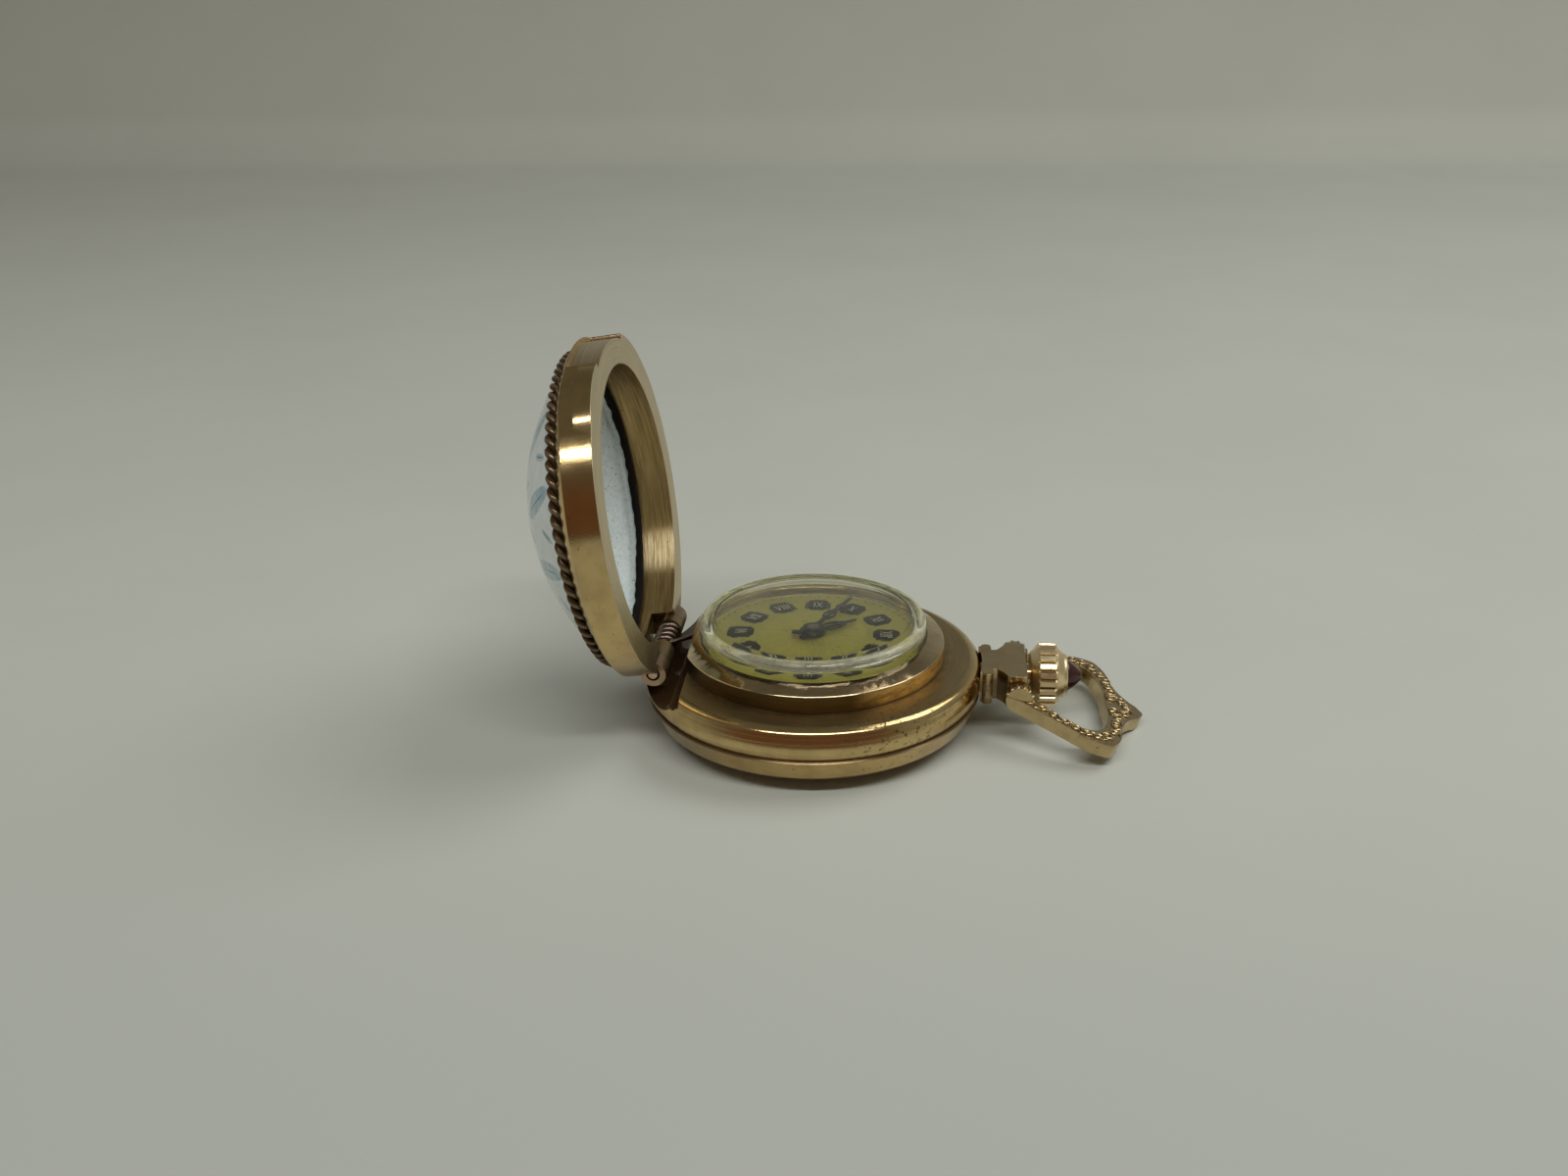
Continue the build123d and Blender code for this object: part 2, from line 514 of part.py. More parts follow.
# Pendant, with the bow's holes and the sleeve for the stem
PENDANT_RISE = 1.3        # top and bottom from the stem's axis
PENDANT_DROP = 1.4
PENDANT_PAST = 0.7        # front of the block, past the bow's pivot
PENDANT_BEAD_OUT = 0.4    # bead, outside the band
PENDANT_BEAD_HALF = 2.9
PENDANT_BEAD_R = 0.42
PENDANT_WAIST = 0.8       # bead to waist, and waist to block
PENDANT_WAIST_HALF = 1.85
PENDANT_ROUND = 0.35
PENDANT_ROOT_DEG = 20     # the block starts at this angle inside the band's outline
SLEEVE_BORE_R = 0.5
SLEEVE_PAST = 0.45        # end of the sleeve, inside the crown
STEM_R = 0.46
STUD_R = 0.55             # studs of the bow, sprung into the pendant's sides
STUD_LONG = 0.75
PENDANT_TOP_Z = STEM_Z + PENDANT_RISE
PENDANT_LOW_Z = STEM_Z - PENDANT_DROP
PENDANT_FRONT_X = BOW_PIVOT_X + PENDANT_PAST
PENDANT_BEAD_X = CASE_R + PENDANT_BEAD_OUT
PENDANT_WAIST_X = PENDANT_BEAD_X + PENDANT_WAIST
PENDANT_BLOCK_X = PENDANT_WAIST_X + PENDANT_WAIST
SLEEVE_END_X = CROWN_BACK_X + SLEEVE_PAST


def pendant_block():
    """Neck of the case: bead, waist and block, with side holes for the bow and a bore for the sleeve."""
    start = CASE_R * cos(radians(PENDANT_ROOT_DEG))
    bead_end = (PENDANT_BEAD_X + PENDANT_BEAD_R, -PENDANT_BEAD_HALF + PENDANT_BEAD_R)
    root = (PENDANT_WAIST_X - PENDANT_ROUND, -PENDANT_WAIST_HALF)
    neck = (PENDANT_WAIST_X, -PENDANT_WAIST_HALF)
    side = (PENDANT_BLOCK_X, -PENDANT_HALF)
    hollow = (PENDANT_BLOCK_X - PENDANT_ROUND, (root[1] + side[1]) / 2 + PENDANT_ROUND / 2)
    bead_start = (PENDANT_BEAD_X - PENDANT_BEAD_R, bead_end[1])
    bead = ThreePointArc(bead_start, (PENDANT_BEAD_X, -PENDANT_BEAD_HALF), bead_end)
    waist = Line(bead @ 1, root) + Line(root, neck) + ThreePointArc(neck, hollow, side)
    nose = FilletPolyline(side, (PENDANT_FRONT_X, -PENDANT_HALF), (PENDANT_FRONT_X, 0), radius=PENDANT_ROUND)
    back = Polyline((PENDANT_FRONT_X, 0), (start, 0), (start, bead_end[1]), bead @ 0)
    half = make_face(Curve() + [bead, waist, nose, back])
    height = PENDANT_TOP_Z - PENDANT_LOW_Z
    body = Pos(0, 0, PENDANT_LOW_Z) * extrude(half + mirror(half, Plane.XZ), height)
    body -= rod(CASE_R, PENDANT_LOW_Z - OVERRUN, PENDANT_TOP_Z + OVERRUN)
    body -= rod_x(SLEEVE_R, 0, PENDANT_FRONT_X + OVERRUN)
    hole = rod_y(STUD_R + RUN, PENDANT_HALF - STUD_LONG, PENDANT_HALF + OVERRUN, BOW_PIVOT_X, BOW_PIVOT_Z)
    return body - hole - mirror(hole, Plane.XZ)


def pendant_sleeve():
    """Sleeve that guides the stem from the band to the crown."""
    outer = rod_x(SLEEVE_R - SEAT, BORE_R + SEAT, SLEEVE_END_X)
    return outer - rod_x(SLEEVE_BORE_R, BORE_R - OVERRUN, SLEEVE_END_X + OVERRUN)


# Bow, flat with a pointed end, drawn along its own length from the pivot
EAR_GAP = 0.1             # neck to ear
EAR_THICK = 1.2
EAR_R = 1.1
BOW_TOP = 0.05            # top face above the pivot axis
BOW_THICK = 1.15
BOW_CORNER = 0.55         # rounding of the outline at its widest points and at its tip
BOW_OUTER_SHARES = (      # points of the outline, along and across, to the bow's length
    (0.08, 0.445), (0.235, 0.527), (0.415, 0.622), (0.568, 0.68), (0.676, 0.676),
    (0.735, 0.59), (0.775, 0.44), (0.83, 0.235), (0.95, 0.09),
)
BOW_INNER_SHARES = (
    (0.12, 0.31), (0.26, 0.445), (0.396, 0.518), (0.52, 0.53),
    (0.626, 0.46), (0.69, 0.25), (0.694, 0.0),
)
EAR_INNER = PENDANT_HALF + EAR_GAP
EAR_OUTER = EAR_INNER + EAR_THICK


def bow_tilt():
    """Angle below the neck's plane at which the tip's lower edge meets the table."""
    depth = BOW_THICK - BOW_TOP
    reach = hypot(BOW_LENGTH, depth)
    return degrees(atan2(BOW_PIVOT_Z, sqrt(reach ** 2 - BOW_PIVOT_Z ** 2)) - atan2(depth, BOW_LENGTH))


def bow_loop():
    """Pointed loop with two round ears and the studs that it turns on."""
    outer = [(along * BOW_LENGTH, across * BOW_LENGTH) for along, across in BOW_OUTER_SHARES]
    inner = [(along * BOW_LENGTH, across * BOW_LENGTH) for along, across in BOW_INNER_SHARES]
    arm = Line((0, EAR_OUTER), outer[0]) + ThreePointArc(outer[0], outer[1], outer[2])
    shoulder = ThreePointArc(outer[2], outer[3], outer[4]) + ThreePointArc(outer[4], outer[5], outer[6])
    tip = ThreePointArc(outer[6], outer[7], outer[8])
    tip += Line(outer[8], (BOW_LENGTH, 0)) + Line((BOW_LENGTH, 0), inner[6])
    hollow = ThreePointArc(inner[6], inner[5], inner[4]) + ThreePointArc(inner[4], inner[3], inner[2])
    ear = Line(inner[0], (0, EAR_INNER)) + Line((0, EAR_INNER), (0, EAR_OUTER))
    root = ThreePointArc(inner[2], inner[1], inner[0]) + ear
    half = make_face(Curve() + [arm, shoulder, tip, hollow, root])
    plan = half + mirror(half, Plane.XZ)
    widest = plan.vertices().filter_by(lambda v: abs(v.X - outer[4][0]) < SEAT and abs(v.Y) > EAR_OUTER)
    point = plan.vertices().sort_by(Axis.X)[-1:]
    plan = fillet(widest + point, BOW_CORNER)
    side = rod_y(EAR_R, EAR_INNER, EAR_OUTER, 0, 0)
    side += rod_y(STUD_R, EAR_INNER - STUD_LONG, EAR_INNER, 0, 0)
    body = Pos(0, 0, BOW_TOP - BOW_THICK) * extrude(plan, BOW_THICK) + side + mirror(side, Plane.XZ)
    return Pos(BOW_PIVOT_X, 0, BOW_PIVOT_Z) * Rot(0, bow_tilt(), 0) * body


# Crown and stem
FLUTE_COUNT = 22
FLUTE_DEPTH = 0.2
FLUTE_SHARES = (0.08, 0.42, 0.58, 0.92)   # root, crest, crest and root across one flute
CROWN_BEVEL = 0.7         # back cone, along X and in radius
CROWN_BAND = 1.3          # fluted band
CROWN_TAPER = 1.05        # front taper, along X
CROWN_TAPER_DROP = 1.1    # and in radius
CROWN_CUP_R = 1.2         # hollow in the crown's back, over the sleeve
CROWN_CUP_DEPTH = 0.95
CABOCHON_STEP = 0.25      # bright ring round the cabochon
CABOCHON_TALL = 1.2
CABOCHON_FACET_COUNT = 12
CABOCHON_SHARES = (1.0, 0.8, 0.22)   # radii at its foot, middle and tip
CROWN_BACK_R = CROWN_R - CROWN_BEVEL
BAND_START_X = CROWN_BACK_X + CROWN_BEVEL
BAND_END_X = BAND_START_X + CROWN_BAND
CROWN_FRONT_X = BAND_END_X + CROWN_TAPER
CROWN_FRONT_R = CROWN_R - CROWN_TAPER_DROP
CROWN_CUP_X = CROWN_BACK_X + CROWN_CUP_DEPTH
CABOCHON_R = CROWN_FRONT_R - CABOCHON_STEP
CROWN_WHEEL_SHARE = 0.65  # place of the crown wheel, to the movement's radius
CROWN_WHEEL_X = MOVEMENT_R * CROWN_WHEEL_SHARE
STEM_PAST = 1.25          # tip of the stem, past the crown wheel's axis
STEM_SQUARE = 1.0         # the square begins this far outside it
STEM_TIP_X = CROWN_WHEEL_X - STEM_PAST
STEM_SQUARE_X = CROWN_WHEEL_X + STEM_SQUARE
CROWN_PULL = 0.8


def fluted_crown():
    """Crown: fluted band between a back cone and a front taper, hollow over the sleeve."""
    back = ((CROWN_BACK_X, 0), (CROWN_BACK_X, CROWN_BACK_R), (BAND_START_X, CROWN_R))
    front = ((BAND_END_X, CROWN_R), (CROWN_FRONT_X, CROWN_FRONT_R), (CROWN_FRONT_X, 0))
    blank = turned_x(*back, *front)
    root_r = CROWN_R - FLUTE_DEPTH
    points = []
    for flute in range(FLUTE_COUNT):
        for share, radius in zip(FLUTE_SHARES, (root_r, CROWN_R, CROWN_R, root_r)):
            points.append(polar(radius, (flute + share) * 360 / FLUTE_COUNT))
    band = Plane.YZ * make_face(Polyline(*points, close=True))
    fluted = Pos(CROWN_BACK_X, 0, STEM_Z) * extrude(band, CROWN_FRONT_X - CROWN_BACK_X)
    body = blank & fluted
    body -= rod_x(CROWN_CUP_R, CROWN_BACK_X - OVERRUN, CROWN_CUP_X)
    return body - rod_x(STEM_R, CROWN_BACK_X, BAND_END_X)


def crown_cabochon():
    """Pointed dark cabochon set in the crown's front."""
    sections = []
    for level, share in enumerate(CABOCHON_SHARES):
        x = CROWN_FRONT_X + CABOCHON_TALL * level / 2
        girdle = RegularPolygon(CABOCHON_R * share, CABOCHON_FACET_COUNT)
        sections.append(Pos(x, 0, STEM_Z) * (Plane.YZ * girdle))
    return loft(sections, ruled=True)


def winding_stem():
    """Stem from the crown down to its pilot in the movement, square where the clutch rides."""
    body = rod_x(STEM_R, STEM_SQUARE_X, BAND_END_X)
    half = STEM_R * sqrt(2) / 2 - SEAT / 2
    return body + block((STEM_TIP_X, STEM_SQUARE_X), (-half, half), (STEM_Z - half, STEM_Z + half))


# Teeth and modules of the wheels
BARREL_TEETH, CENTRE_PINION_TEETH = 72, 12
CENTRE_TEETH, THIRD_PINION_TEETH = 64, 8
THIRD_TEETH, FOURTH_PINION_TEETH = 60, 8
FOURTH_TEETH, ESCAPE_PINION_TEETH = 70, 7
ESCAPE_TEETH = 15
CROWN_WHEEL_TEETH, RATCHET_TEETH = 30, 42
CANNON_TEETH, MINUTE_TEETH = 12, 36
MINUTE_PINION_TEETH, HOUR_TEETH = 10, 40
BARREL_MODULE_SHARE = 0.010625   # modules, to the movement's radius
TRAIN_MODULE_SHARE = 0.01
FOURTH_MODULE_SHARE = 0.0075
BACKLASH = 0.02           # added to each distance between centres
TOOTH_SHARE = 0.62        # height of a tooth above the pitch circle, to the module
PINION_SPARE = 0.06       # a pinion is longer than its wheel by this, each way
ARBOR_R = 0.2
PIVOT_R = 0.1
JEWEL_R = 0.5
JEWEL_HOLE_R = 0.14
JEWEL_THICK = 0.26
ESCAPE_SHARE = 0.175      # escape wheel, to the movement's radius
BALANCE_SHARE = 0.3
LEVER_SHARE = 0.265       # pallet arbor to balance staff, to the movement's radius
LOCK_SHARE = 1.17         # escape wheel to pallet arbor, to the escape wheel's radius
LEVER_DEG = 6
SPOKE_COUNT = 4
HOOK_SHARES = (0.0, 0.12, 0.28, 0.92)   # two corners of an escape tooth and two of the gap after it
HOOK_ROOT_SHARE = 0.76    # root of the escape teeth, and the windows inside them, to the radius
HOOK_WINDOW_SHARE = 0.62
BARREL_DEG = 60           # bearings of the arbors, each from the one before
THIRD_DEG = 200
FOURTH_DEG = -50
ESCAPE_DEG = -110
MINUTE_DEG = -25
BARREL_MODULE = MOVEMENT_R * BARREL_MODULE_SHARE
MOTION_MODULE = BARREL_MODULE
CENTRE_MODULE = MOVEMENT_R * TRAIN_MODULE_SHARE
THIRD_MODULE = CENTRE_MODULE
FOURTH_MODULE = MOVEMENT_R * FOURTH_MODULE_SHARE
ESCAPE_R = MOVEMENT_R * ESCAPE_SHARE
BALANCE_R = MOVEMENT_R * BALANCE_SHARE
LEVER_LONG = MOVEMENT_R * LEVER_SHARE


def spread(teeth, pinion, module):
    """Distance between the centres of a wheel and a pinion."""
    return (teeth + pinion) * module / 2 + BACKLASH


# Places of the arbors, each from the one before
CENTRE = (0, 0)
BARREL = polar(spread(BARREL_TEETH, CENTRE_PINION_TEETH, BARREL_MODULE), BARREL_DEG)
THIRD = polar(spread(CENTRE_TEETH, THIRD_PINION_TEETH, CENTRE_MODULE), THIRD_DEG)
FOURTH = polar(spread(THIRD_TEETH, FOURTH_PINION_TEETH, THIRD_MODULE), FOURTH_DEG, THIRD)
ESCAPE = polar(spread(FOURTH_TEETH, ESCAPE_PINION_TEETH, FOURTH_MODULE), ESCAPE_DEG, FOURTH)
PALLET = polar(ESCAPE_R * LOCK_SHARE, LEVER_DEG, ESCAPE)
BALANCE = polar(LEVER_LONG, LEVER_DEG, PALLET)
CROWN_WHEEL = (CROWN_WHEEL_X, 0)
MINUTE = polar(spread(MINUTE_TEETH, CANNON_TEETH, MOTION_MODULE), MINUTE_DEG)
WIND_MODULE = 2 * (distance(CROWN_WHEEL, BARREL) - BACKLASH) / (CROWN_WHEEL_TEETH + RATCHET_TEETH)
HOUR_MODULE = 2 * (distance(CENTRE, MINUTE) - BACKLASH) / (MINUTE_PINION_TEETH + HOUR_TEETH)


def toothed(teeth, module, low, high, place=(0, 0), towards=(1, 0), gap=False):
    """Toothed disc with a tooth, or a gap, that points at the wheel it meshes with."""
    pitch_r = teeth * module / 2
    tall = module * TOOTH_SHARE
    start = heading(place, towards) + (180 / teeth if gap else 0)
    points = []
    for tooth in range(teeth):
        points.append(polar(pitch_r + tall, start + tooth * 360 / teeth))
        points.append(polar(pitch_r - tall, start + (tooth + 0.5) * 360 / teeth))
    return Pos(place[0], place[1], low) * extrude(make_face(Polyline(*points, close=True)), high - low)


def windows(place, rim_r, hub_r, low, high, spokes):
    """Openings between the spokes of a wheel."""
    ring = tube(rim_r, hub_r, low, high)
    for spoke in range(spokes):
        arm = Rectangle(rim_r, ARBOR_R + ARBOR_R, align=(Align.MIN, Align.CENTER))
        ring -= Pos(0, 0, low) * Rot(0, 0, spoke * 360 / spokes) * extrude(arm, high - low)
    return Pos(*place) * ring


def arbor(place):
    """Arbor between bridge and plate, with a pivot at each end."""
    body = rod(ARBOR_R, BRIDGE_TOP_Z + SEAT, PLATE_LOW_Z - SEAT, place)
    return body + rod(PIVOT_R, BRIDGE_LOW_Z + SEAT, PLATE_LOW_Z + JEWEL_THICK, place)


def train_wheel(wheel, leaves, place):
    """Spoked wheel and pinion on one arbor; each is (teeth, module, low, high, neighbour)."""
    teeth, module, low, high, onwards = wheel
    body = toothed(teeth, module, low, high, place, onwards)
    body -= windows(place, teeth * module / 2 - module * SPOKE_COUNT, ARBOR_R * 2, low, high, SPOKE_COUNT)
    teeth, module, low, high, back = leaves
    return body + toothed(teeth, module, low, high, place, back, gap=True) + arbor(place)


def centre_wheel():
    """Centre wheel and pinion, whose arbor carries the cannon pinion through the plate."""
    wheel = (CENTRE_TEETH, CENTRE_MODULE, CENTRE_LOW_Z, CENTRE_TOP_Z, THIRD)
    low, high = DRUM_TEETH_Z - PINION_SPARE, DRUM_TOP_Z + PINION_SPARE
    leaves = (CENTRE_PINION_TEETH, BARREL_MODULE, low, high, BARREL)
    body = train_wheel(wheel, leaves, CENTRE)
    return body + rod(CENTRE_PIVOT_R, PLATE_LOW_Z - SEAT, MINUTE_HAND_Z)


def third_wheel():
    wheel = (THIRD_TEETH, THIRD_MODULE, THIRD_LOW_Z, THIRD_TOP_Z, FOURTH)
    low, high = CENTRE_LOW_Z - PINION_SPARE, CENTRE_TOP_Z + PINION_SPARE
    leaves = (THIRD_PINION_TEETH, CENTRE_MODULE, low, high, CENTRE)
    return train_wheel(wheel, leaves, THIRD)


def fourth_wheel():
    wheel = (FOURTH_TEETH, FOURTH_MODULE, FOURTH_LOW_Z, FOURTH_TOP_Z, ESCAPE)
    low, high = THIRD_LOW_Z - PINION_SPARE, THIRD_TOP_Z + PINION_SPARE
    leaves = (FOURTH_PINION_TEETH, THIRD_MODULE, low, high, THIRD)
    return train_wheel(wheel, leaves, FOURTH)


def escape_wheel():
    """Escape wheel with hooked teeth, and its pinion."""
    points = []
    root_r = ESCAPE_R * HOOK_ROOT_SHARE
    for tooth in range(ESCAPE_TEETH):
        for share, radius in zip(HOOK_SHARES, (ESCAPE_R, ESCAPE_R, root_r, root_r)):
            points.append(polar(radius, (tooth + share) * 360 / ESCAPE_TEETH))
    rim = make_face(Polyline(*points, close=True))
    body = Pos(ESCAPE[0], ESCAPE[1], ESCAPE_LOW_Z) * extrude(rim, ESCAPE_TOP_Z - ESCAPE_LOW_Z)
    window_r = ESCAPE_R * HOOK_WINDOW_SHARE
    body -= windows(ESCAPE, window_r, ARBOR_R + SLIP * 2, ESCAPE_LOW_Z, ESCAPE_TOP_Z, SPOKE_COUNT)
    low, high = FOURTH_LOW_Z - PINION_SPARE, FOURTH_TOP_Z + PINION_SPARE
    body += toothed(ESCAPE_PINION_TEETH, FOURTH_MODULE, low, high, ESCAPE, FOURTH, gap=True)
    return body + arbor(ESCAPE)


# Barrel, ratchet and crown wheel
DRUM_WALL = 0.16
DRUM_SHARE = 0.355        # barrel drum, to the movement's radius
DRUM_R = MOVEMENT_R * DRUM_SHARE
HUB_R = 0.62              # hub of the barrel arbor, inside the spring
BARREL_ARBOR_R = 0.36
SQUARE_HALF = 0.24        # square end of the barrel arbor, in the ratchet wheel
FACE_HALF = 0.2           # half length of the crown wheel's face teeth
FACE_TALL = 0.09
POST_R = 0.7              # post that the crown wheel turns on
CAP_R = 0.95
CLUTCH_R = 0.78
CLUTCH_BACK = 0.3         # inner end of the clutch, past the crown wheel's axis
CLUTCH_NECK_R = 0.62
CLUTCH_START_X = CROWN_WHEEL_X - CLUTCH_BACK


def barrel_drum():
    """Toothed drum, open on the side that the cover closes."""
    body = rod(DRUM_R, DRUM_LOW_Z, DRUM_TOP_Z, BARREL)
    body += toothed(BARREL_TEETH, BARREL_MODULE, DRUM_TEETH_Z, DRUM_TOP_Z, BARREL, CENTRE)
    body -= rod(DRUM_R - DRUM_WALL, DRUM_LOW_Z - OVERRUN, DRUM_TOP_Z - DRUM_WALL, BARREL)
    return body - rod(BARREL_ARBOR_R + RUN, DRUM_LOW_Z, DRUM_TOP_Z + OVERRUN, BARREL)


def barrel_cover():
    outer_r = DRUM_R - DRUM_WALL - SEAT / 3
    return tube(outer_r, BARREL_ARBOR_R + RUN, DRUM_LOW_Z, DRUM_LOW_Z + DRUM_WALL, BARREL)


def mainspring():
    """Mainspring, its coils packed against the drum's wall."""
    outer_r = DRUM_R - DRUM_WALL - SEAT
    low, high = DRUM_LOW_Z + DRUM_WALL + SEAT, DRUM_TOP_Z - DRUM_WALL - SEAT
    return tube(outer_r, outer_r - HUB_R - HUB_R, low, high, BARREL)


def barrel_arbor():
    """Arbor of the barrel, squared at the end that carries the ratchet wheel."""
    hub = rod(HUB_R, DRUM_LOW_Z + DRUM_WALL + SEAT, DRUM_TOP_Z - DRUM_WALL - SEAT, BARREL)
    shaft = rod(BARREL_ARBOR_R, WIND_TOP_Z + SEAT, PLATE_LOW_Z + JEWEL_THICK, BARREL)
    half = SQUARE_HALF
    x, y = BARREL
    return hub + shaft + block((x - half, x + half), (y - half, y + half), (WIND_LOW_Z, WIND_TOP_Z + SEAT))


def ratchet_wheel():
    body = toothed(RATCHET_TEETH, WIND_MODULE, WIND_LOW_Z, WIND_TOP_Z, BARREL, CROWN_WHEEL)
    half = SQUARE_HALF + SEAT / 3
    x, y = BARREL
    height = (WIND_LOW_Z - OVERRUN, WIND_TOP_Z + OVERRUN)
    return body - block((x - half, x + half), (y - half, y + half), height)


def crown_wheel():
    """Crown wheel: flat teeth for the ratchet wheel, and a ring of face teeth for the winding pinion."""
    body = toothed(CROWN_WHEEL_TEETH, WIND_MODULE, WIND_LOW_Z, WIND_TOP_Z, CROWN_WHEEL, BARREL, gap=True)
    body += tube(FACE_R + FACE_HALF, FACE_R - FACE_HALF, WIND_LOW_Z, FACE_Z - FACE_TALL, CROWN_WHEEL)
    half = FACE_R * radians(180 / FACE_TEETH)
    side = make_face(Polyline((-half, -FACE_TALL), (half, -FACE_TALL), (0, FACE_TALL), close=True))
    tooth = extrude(Plane.YZ * side, FACE_HALF + FACE_HALF)
    for number in range(FACE_TEETH):
        turn = Rot(0, 0, number * 360 / FACE_TEETH)
        body += Pos(CROWN_WHEEL_X, 0, FACE_Z) * turn * Pos(FACE_R - FACE_HALF, 0, 0) * tooth
    return body - rod(POST_R + RUN, WIND_LOW_Z - OVERRUN, BRIDGE_TOP_Z, CROWN_WHEEL)


def crown_wheel_cap():
    """Screwed cap on the crown wheel's post."""
    body = rod(CAP_R, WIND_LOW_Z - PINION_SPARE - JEWEL_THICK / 2, WIND_LOW_Z - PINION_SPARE, CROWN_WHEEL)
    return body + rod(POST_R, WIND_LOW_Z - PINION_SPARE, BRIDGE_LOW_Z, CROWN_WHEEL)


def winding_pinion():
    """Pinion that turns on the stem and drives the crown wheel's face teeth."""
    module = 2 * WINDING_R / WINDING_TEETH
    start = CROWN_WHEEL_X + FACE_R - FACE_HALF
    points = []
    for tooth in range(WINDING_TEETH):
        low_angle = -90 + (tooth + 0.5) * 360 / WINDING_TEETH
        points.append(polar(WINDING_R + FACE_TALL - BACKLASH, low_angle))
        points.append(polar(WINDING_R - FACE_TALL - BACKLASH, low_angle + 180 / WINDING_TEETH))
    disc = extrude(Plane.YZ * make_face(Polyline(*points, close=True)), FACE_HALF + FACE_HALF)
    return Pos(start, 0, STEM_Z) * disc - rod_x(STEM_R + RUN, start - OVERRUN, start + OVERRUN + OVERRUN)


def sliding_pinion():
    """Clutch on the square of the stem, with a neck for the yoke."""
    end = CROWN_WHEEL_X + FACE_R - FACE_HALF - SEAT
    third = (end - CLUTCH_START_X) / 3
    body = rod_x(CLUTCH_R, CLUTCH_START_X, end)
    neck = rod_x(CLUTCH_R + OVERRUN, CLUTCH_START_X + third, end - third) - rod_x(CLUTCH_NECK_R, 0, CASE_R)
    half = STEM_R * sqrt(2) / 2
    body -= neck
    body -= rod_x(STEM_R + RUN, STEM_SQUARE_X - SEAT, end + OVERRUN)
    return body - block((0, end), (-half, half), (STEM_Z - half, STEM_Z + half))


# Main plate and bridges
PILLAR_R = 0.55
PILLAR_SHARE = 0.875      # place of the pillars, to the movement's radius
PILLAR_PLACE_R = MOVEMENT_R * PILLAR_SHARE
BARREL_PILLARS_DEG = (20, -20, 100)
TRAIN_PILLARS_DEG = (150, 190, 225)
COCK_PILLAR_SHARES = (0.65, -0.575)
COCK_PILLAR = (MOVEMENT_R * COCK_PILLAR_SHARES[0], MOVEMENT_R * COCK_PILLAR_SHARES[1])
BRIDGE_STEP = 0.25        # the bridges' edge, inside the plate's
BRIDGE_R = MOVEMENT_R - BRIDGE_STEP
SPLIT_DEG = 40            # direction across the split between the two bridges
SPLIT_SHARE = -0.1875     # offset of the split from the centre, to the movement's radius
SPLIT_OFFSET = MOVEMENT_R * SPLIT_SHARE
SPLIT_HALF = 0.08
COCK_DROP = 0.3           # balance cock, below the bridges
COCK_LOW_Z = BRIDGE_LOW_Z - COCK_DROP
COCK_TOP_Z = BRIDGE_TOP_Z - COCK_DROP
COCK_HALF = 0.85
COCK_TIP_R = 0.95
SCREW_HEAD_R = 0.46
SCREW_HEAD = 0.28
SCREW_R = 0.26
SCREW_LONG = 1.3
SCREW_SLOT = 0.12
PALLET_BRIDGE_GAP = 0.22  # pallet bridge to fork
PALLET_BRIDGE_THICK = 0.18
PALLET_BRIDGE_TOP_Z = ESCAPE_LOW_Z - PALLET_BRIDGE_GAP
PALLET_BRIDGE_LOW_Z = PALLET_BRIDGE_TOP_Z - PALLET_BRIDGE_THICK
PALLET_FOOT_SHARES = (0.1125, -0.84375)
PALLET_FOOT = (MOVEMENT_R * PALLET_FOOT_SHARES[0], MOVEMENT_R * PALLET_FOOT_SHARES[1])
FOOT_R = 0.45
FOOT_WEB = 0.36           # half width of the pallet bridge between its feet


def pillar_places():
    barrel = [polar(PILLAR_PLACE_R, angle) for angle in BARREL_PILLARS_DEG]
    return barrel, [polar(PILLAR_PLACE_R, angle) for angle in TRAIN_PILLARS_DEG]


def main_plate():
    """Plate that carries the movement, with pillars for the bridges and a channel for the stem."""
    body = rod(MOVEMENT_R, PLATE_LOW_Z, PLATE_TOP_Z)
    barrel, train = pillar_places()
    for place in barrel + train:
        body += rod(PILLAR_R, BRIDGE_TOP_Z, PLATE_LOW_Z, place)
        body -= rod(SCREW_R, BRIDGE_TOP_Z - OVERRUN, BRIDGE_TOP_Z + SCREW_LONG, place)
    pillar = rod(PILLAR_R, COCK_TOP_Z, PLATE_LOW_Z, COCK_PILLAR)
    body += pillar - rod(SCREW_R, 0, COCK_TOP_Z + SCREW_LONG, COCK_PILLAR)
    body += rod(FOOT_R, PALLET_BRIDGE_TOP_Z, PLATE_LOW_Z, PALLET_FOOT)
    for place in (THIRD, FOURTH, ESCAPE, PALLET, BALANCE):
        body -= rod(JEWEL_R, PLATE_LOW_Z - OVERRUN, PLATE_LOW_Z + JEWEL_THICK + SEAT, place)
    body -= rod(BARREL_ARBOR_R + RUN, PLATE_LOW_Z - OVERRUN, PLATE_LOW_Z + JEWEL_THICK + SEAT, BARREL)
    body -= rod(CENTRE_PIVOT_R + RUN, PLATE_LOW_Z - OVERRUN, PLATE_TOP_Z + OVERRUN)
    for angle in DIAL_FOOT_ANGLES:
        foot = polar(DIAL_FOOT_PLACE_R, angle)
        body -= rod(DIAL_FOOT_R + SLIP, PLATE_LOW_Z - OVERRUN, PLATE_TOP_Z + OVERRUN, foot)
    start = CROWN_WHEEL_X + FACE_R - FACE_HALF
    body -= rod_x(WINDING_R + FACE_TALL + SLIP, start - SLIP, start + FACE_HALF * 2 + SLIP)
    body -= rod_x(CLUTCH_R + FREE, CLUTCH_START_X - FREE - CROWN_PULL / 2, start)
    body -= rod_x(STEM_R + SLIP, STEM_TIP_X - SLIP, MOVEMENT_R + OVERRUN)
    return body + rod(PIVOT_R * 2, PLATE_TOP_Z, HOUR_WHEEL_TOP_Z + SEAT, MINUTE)


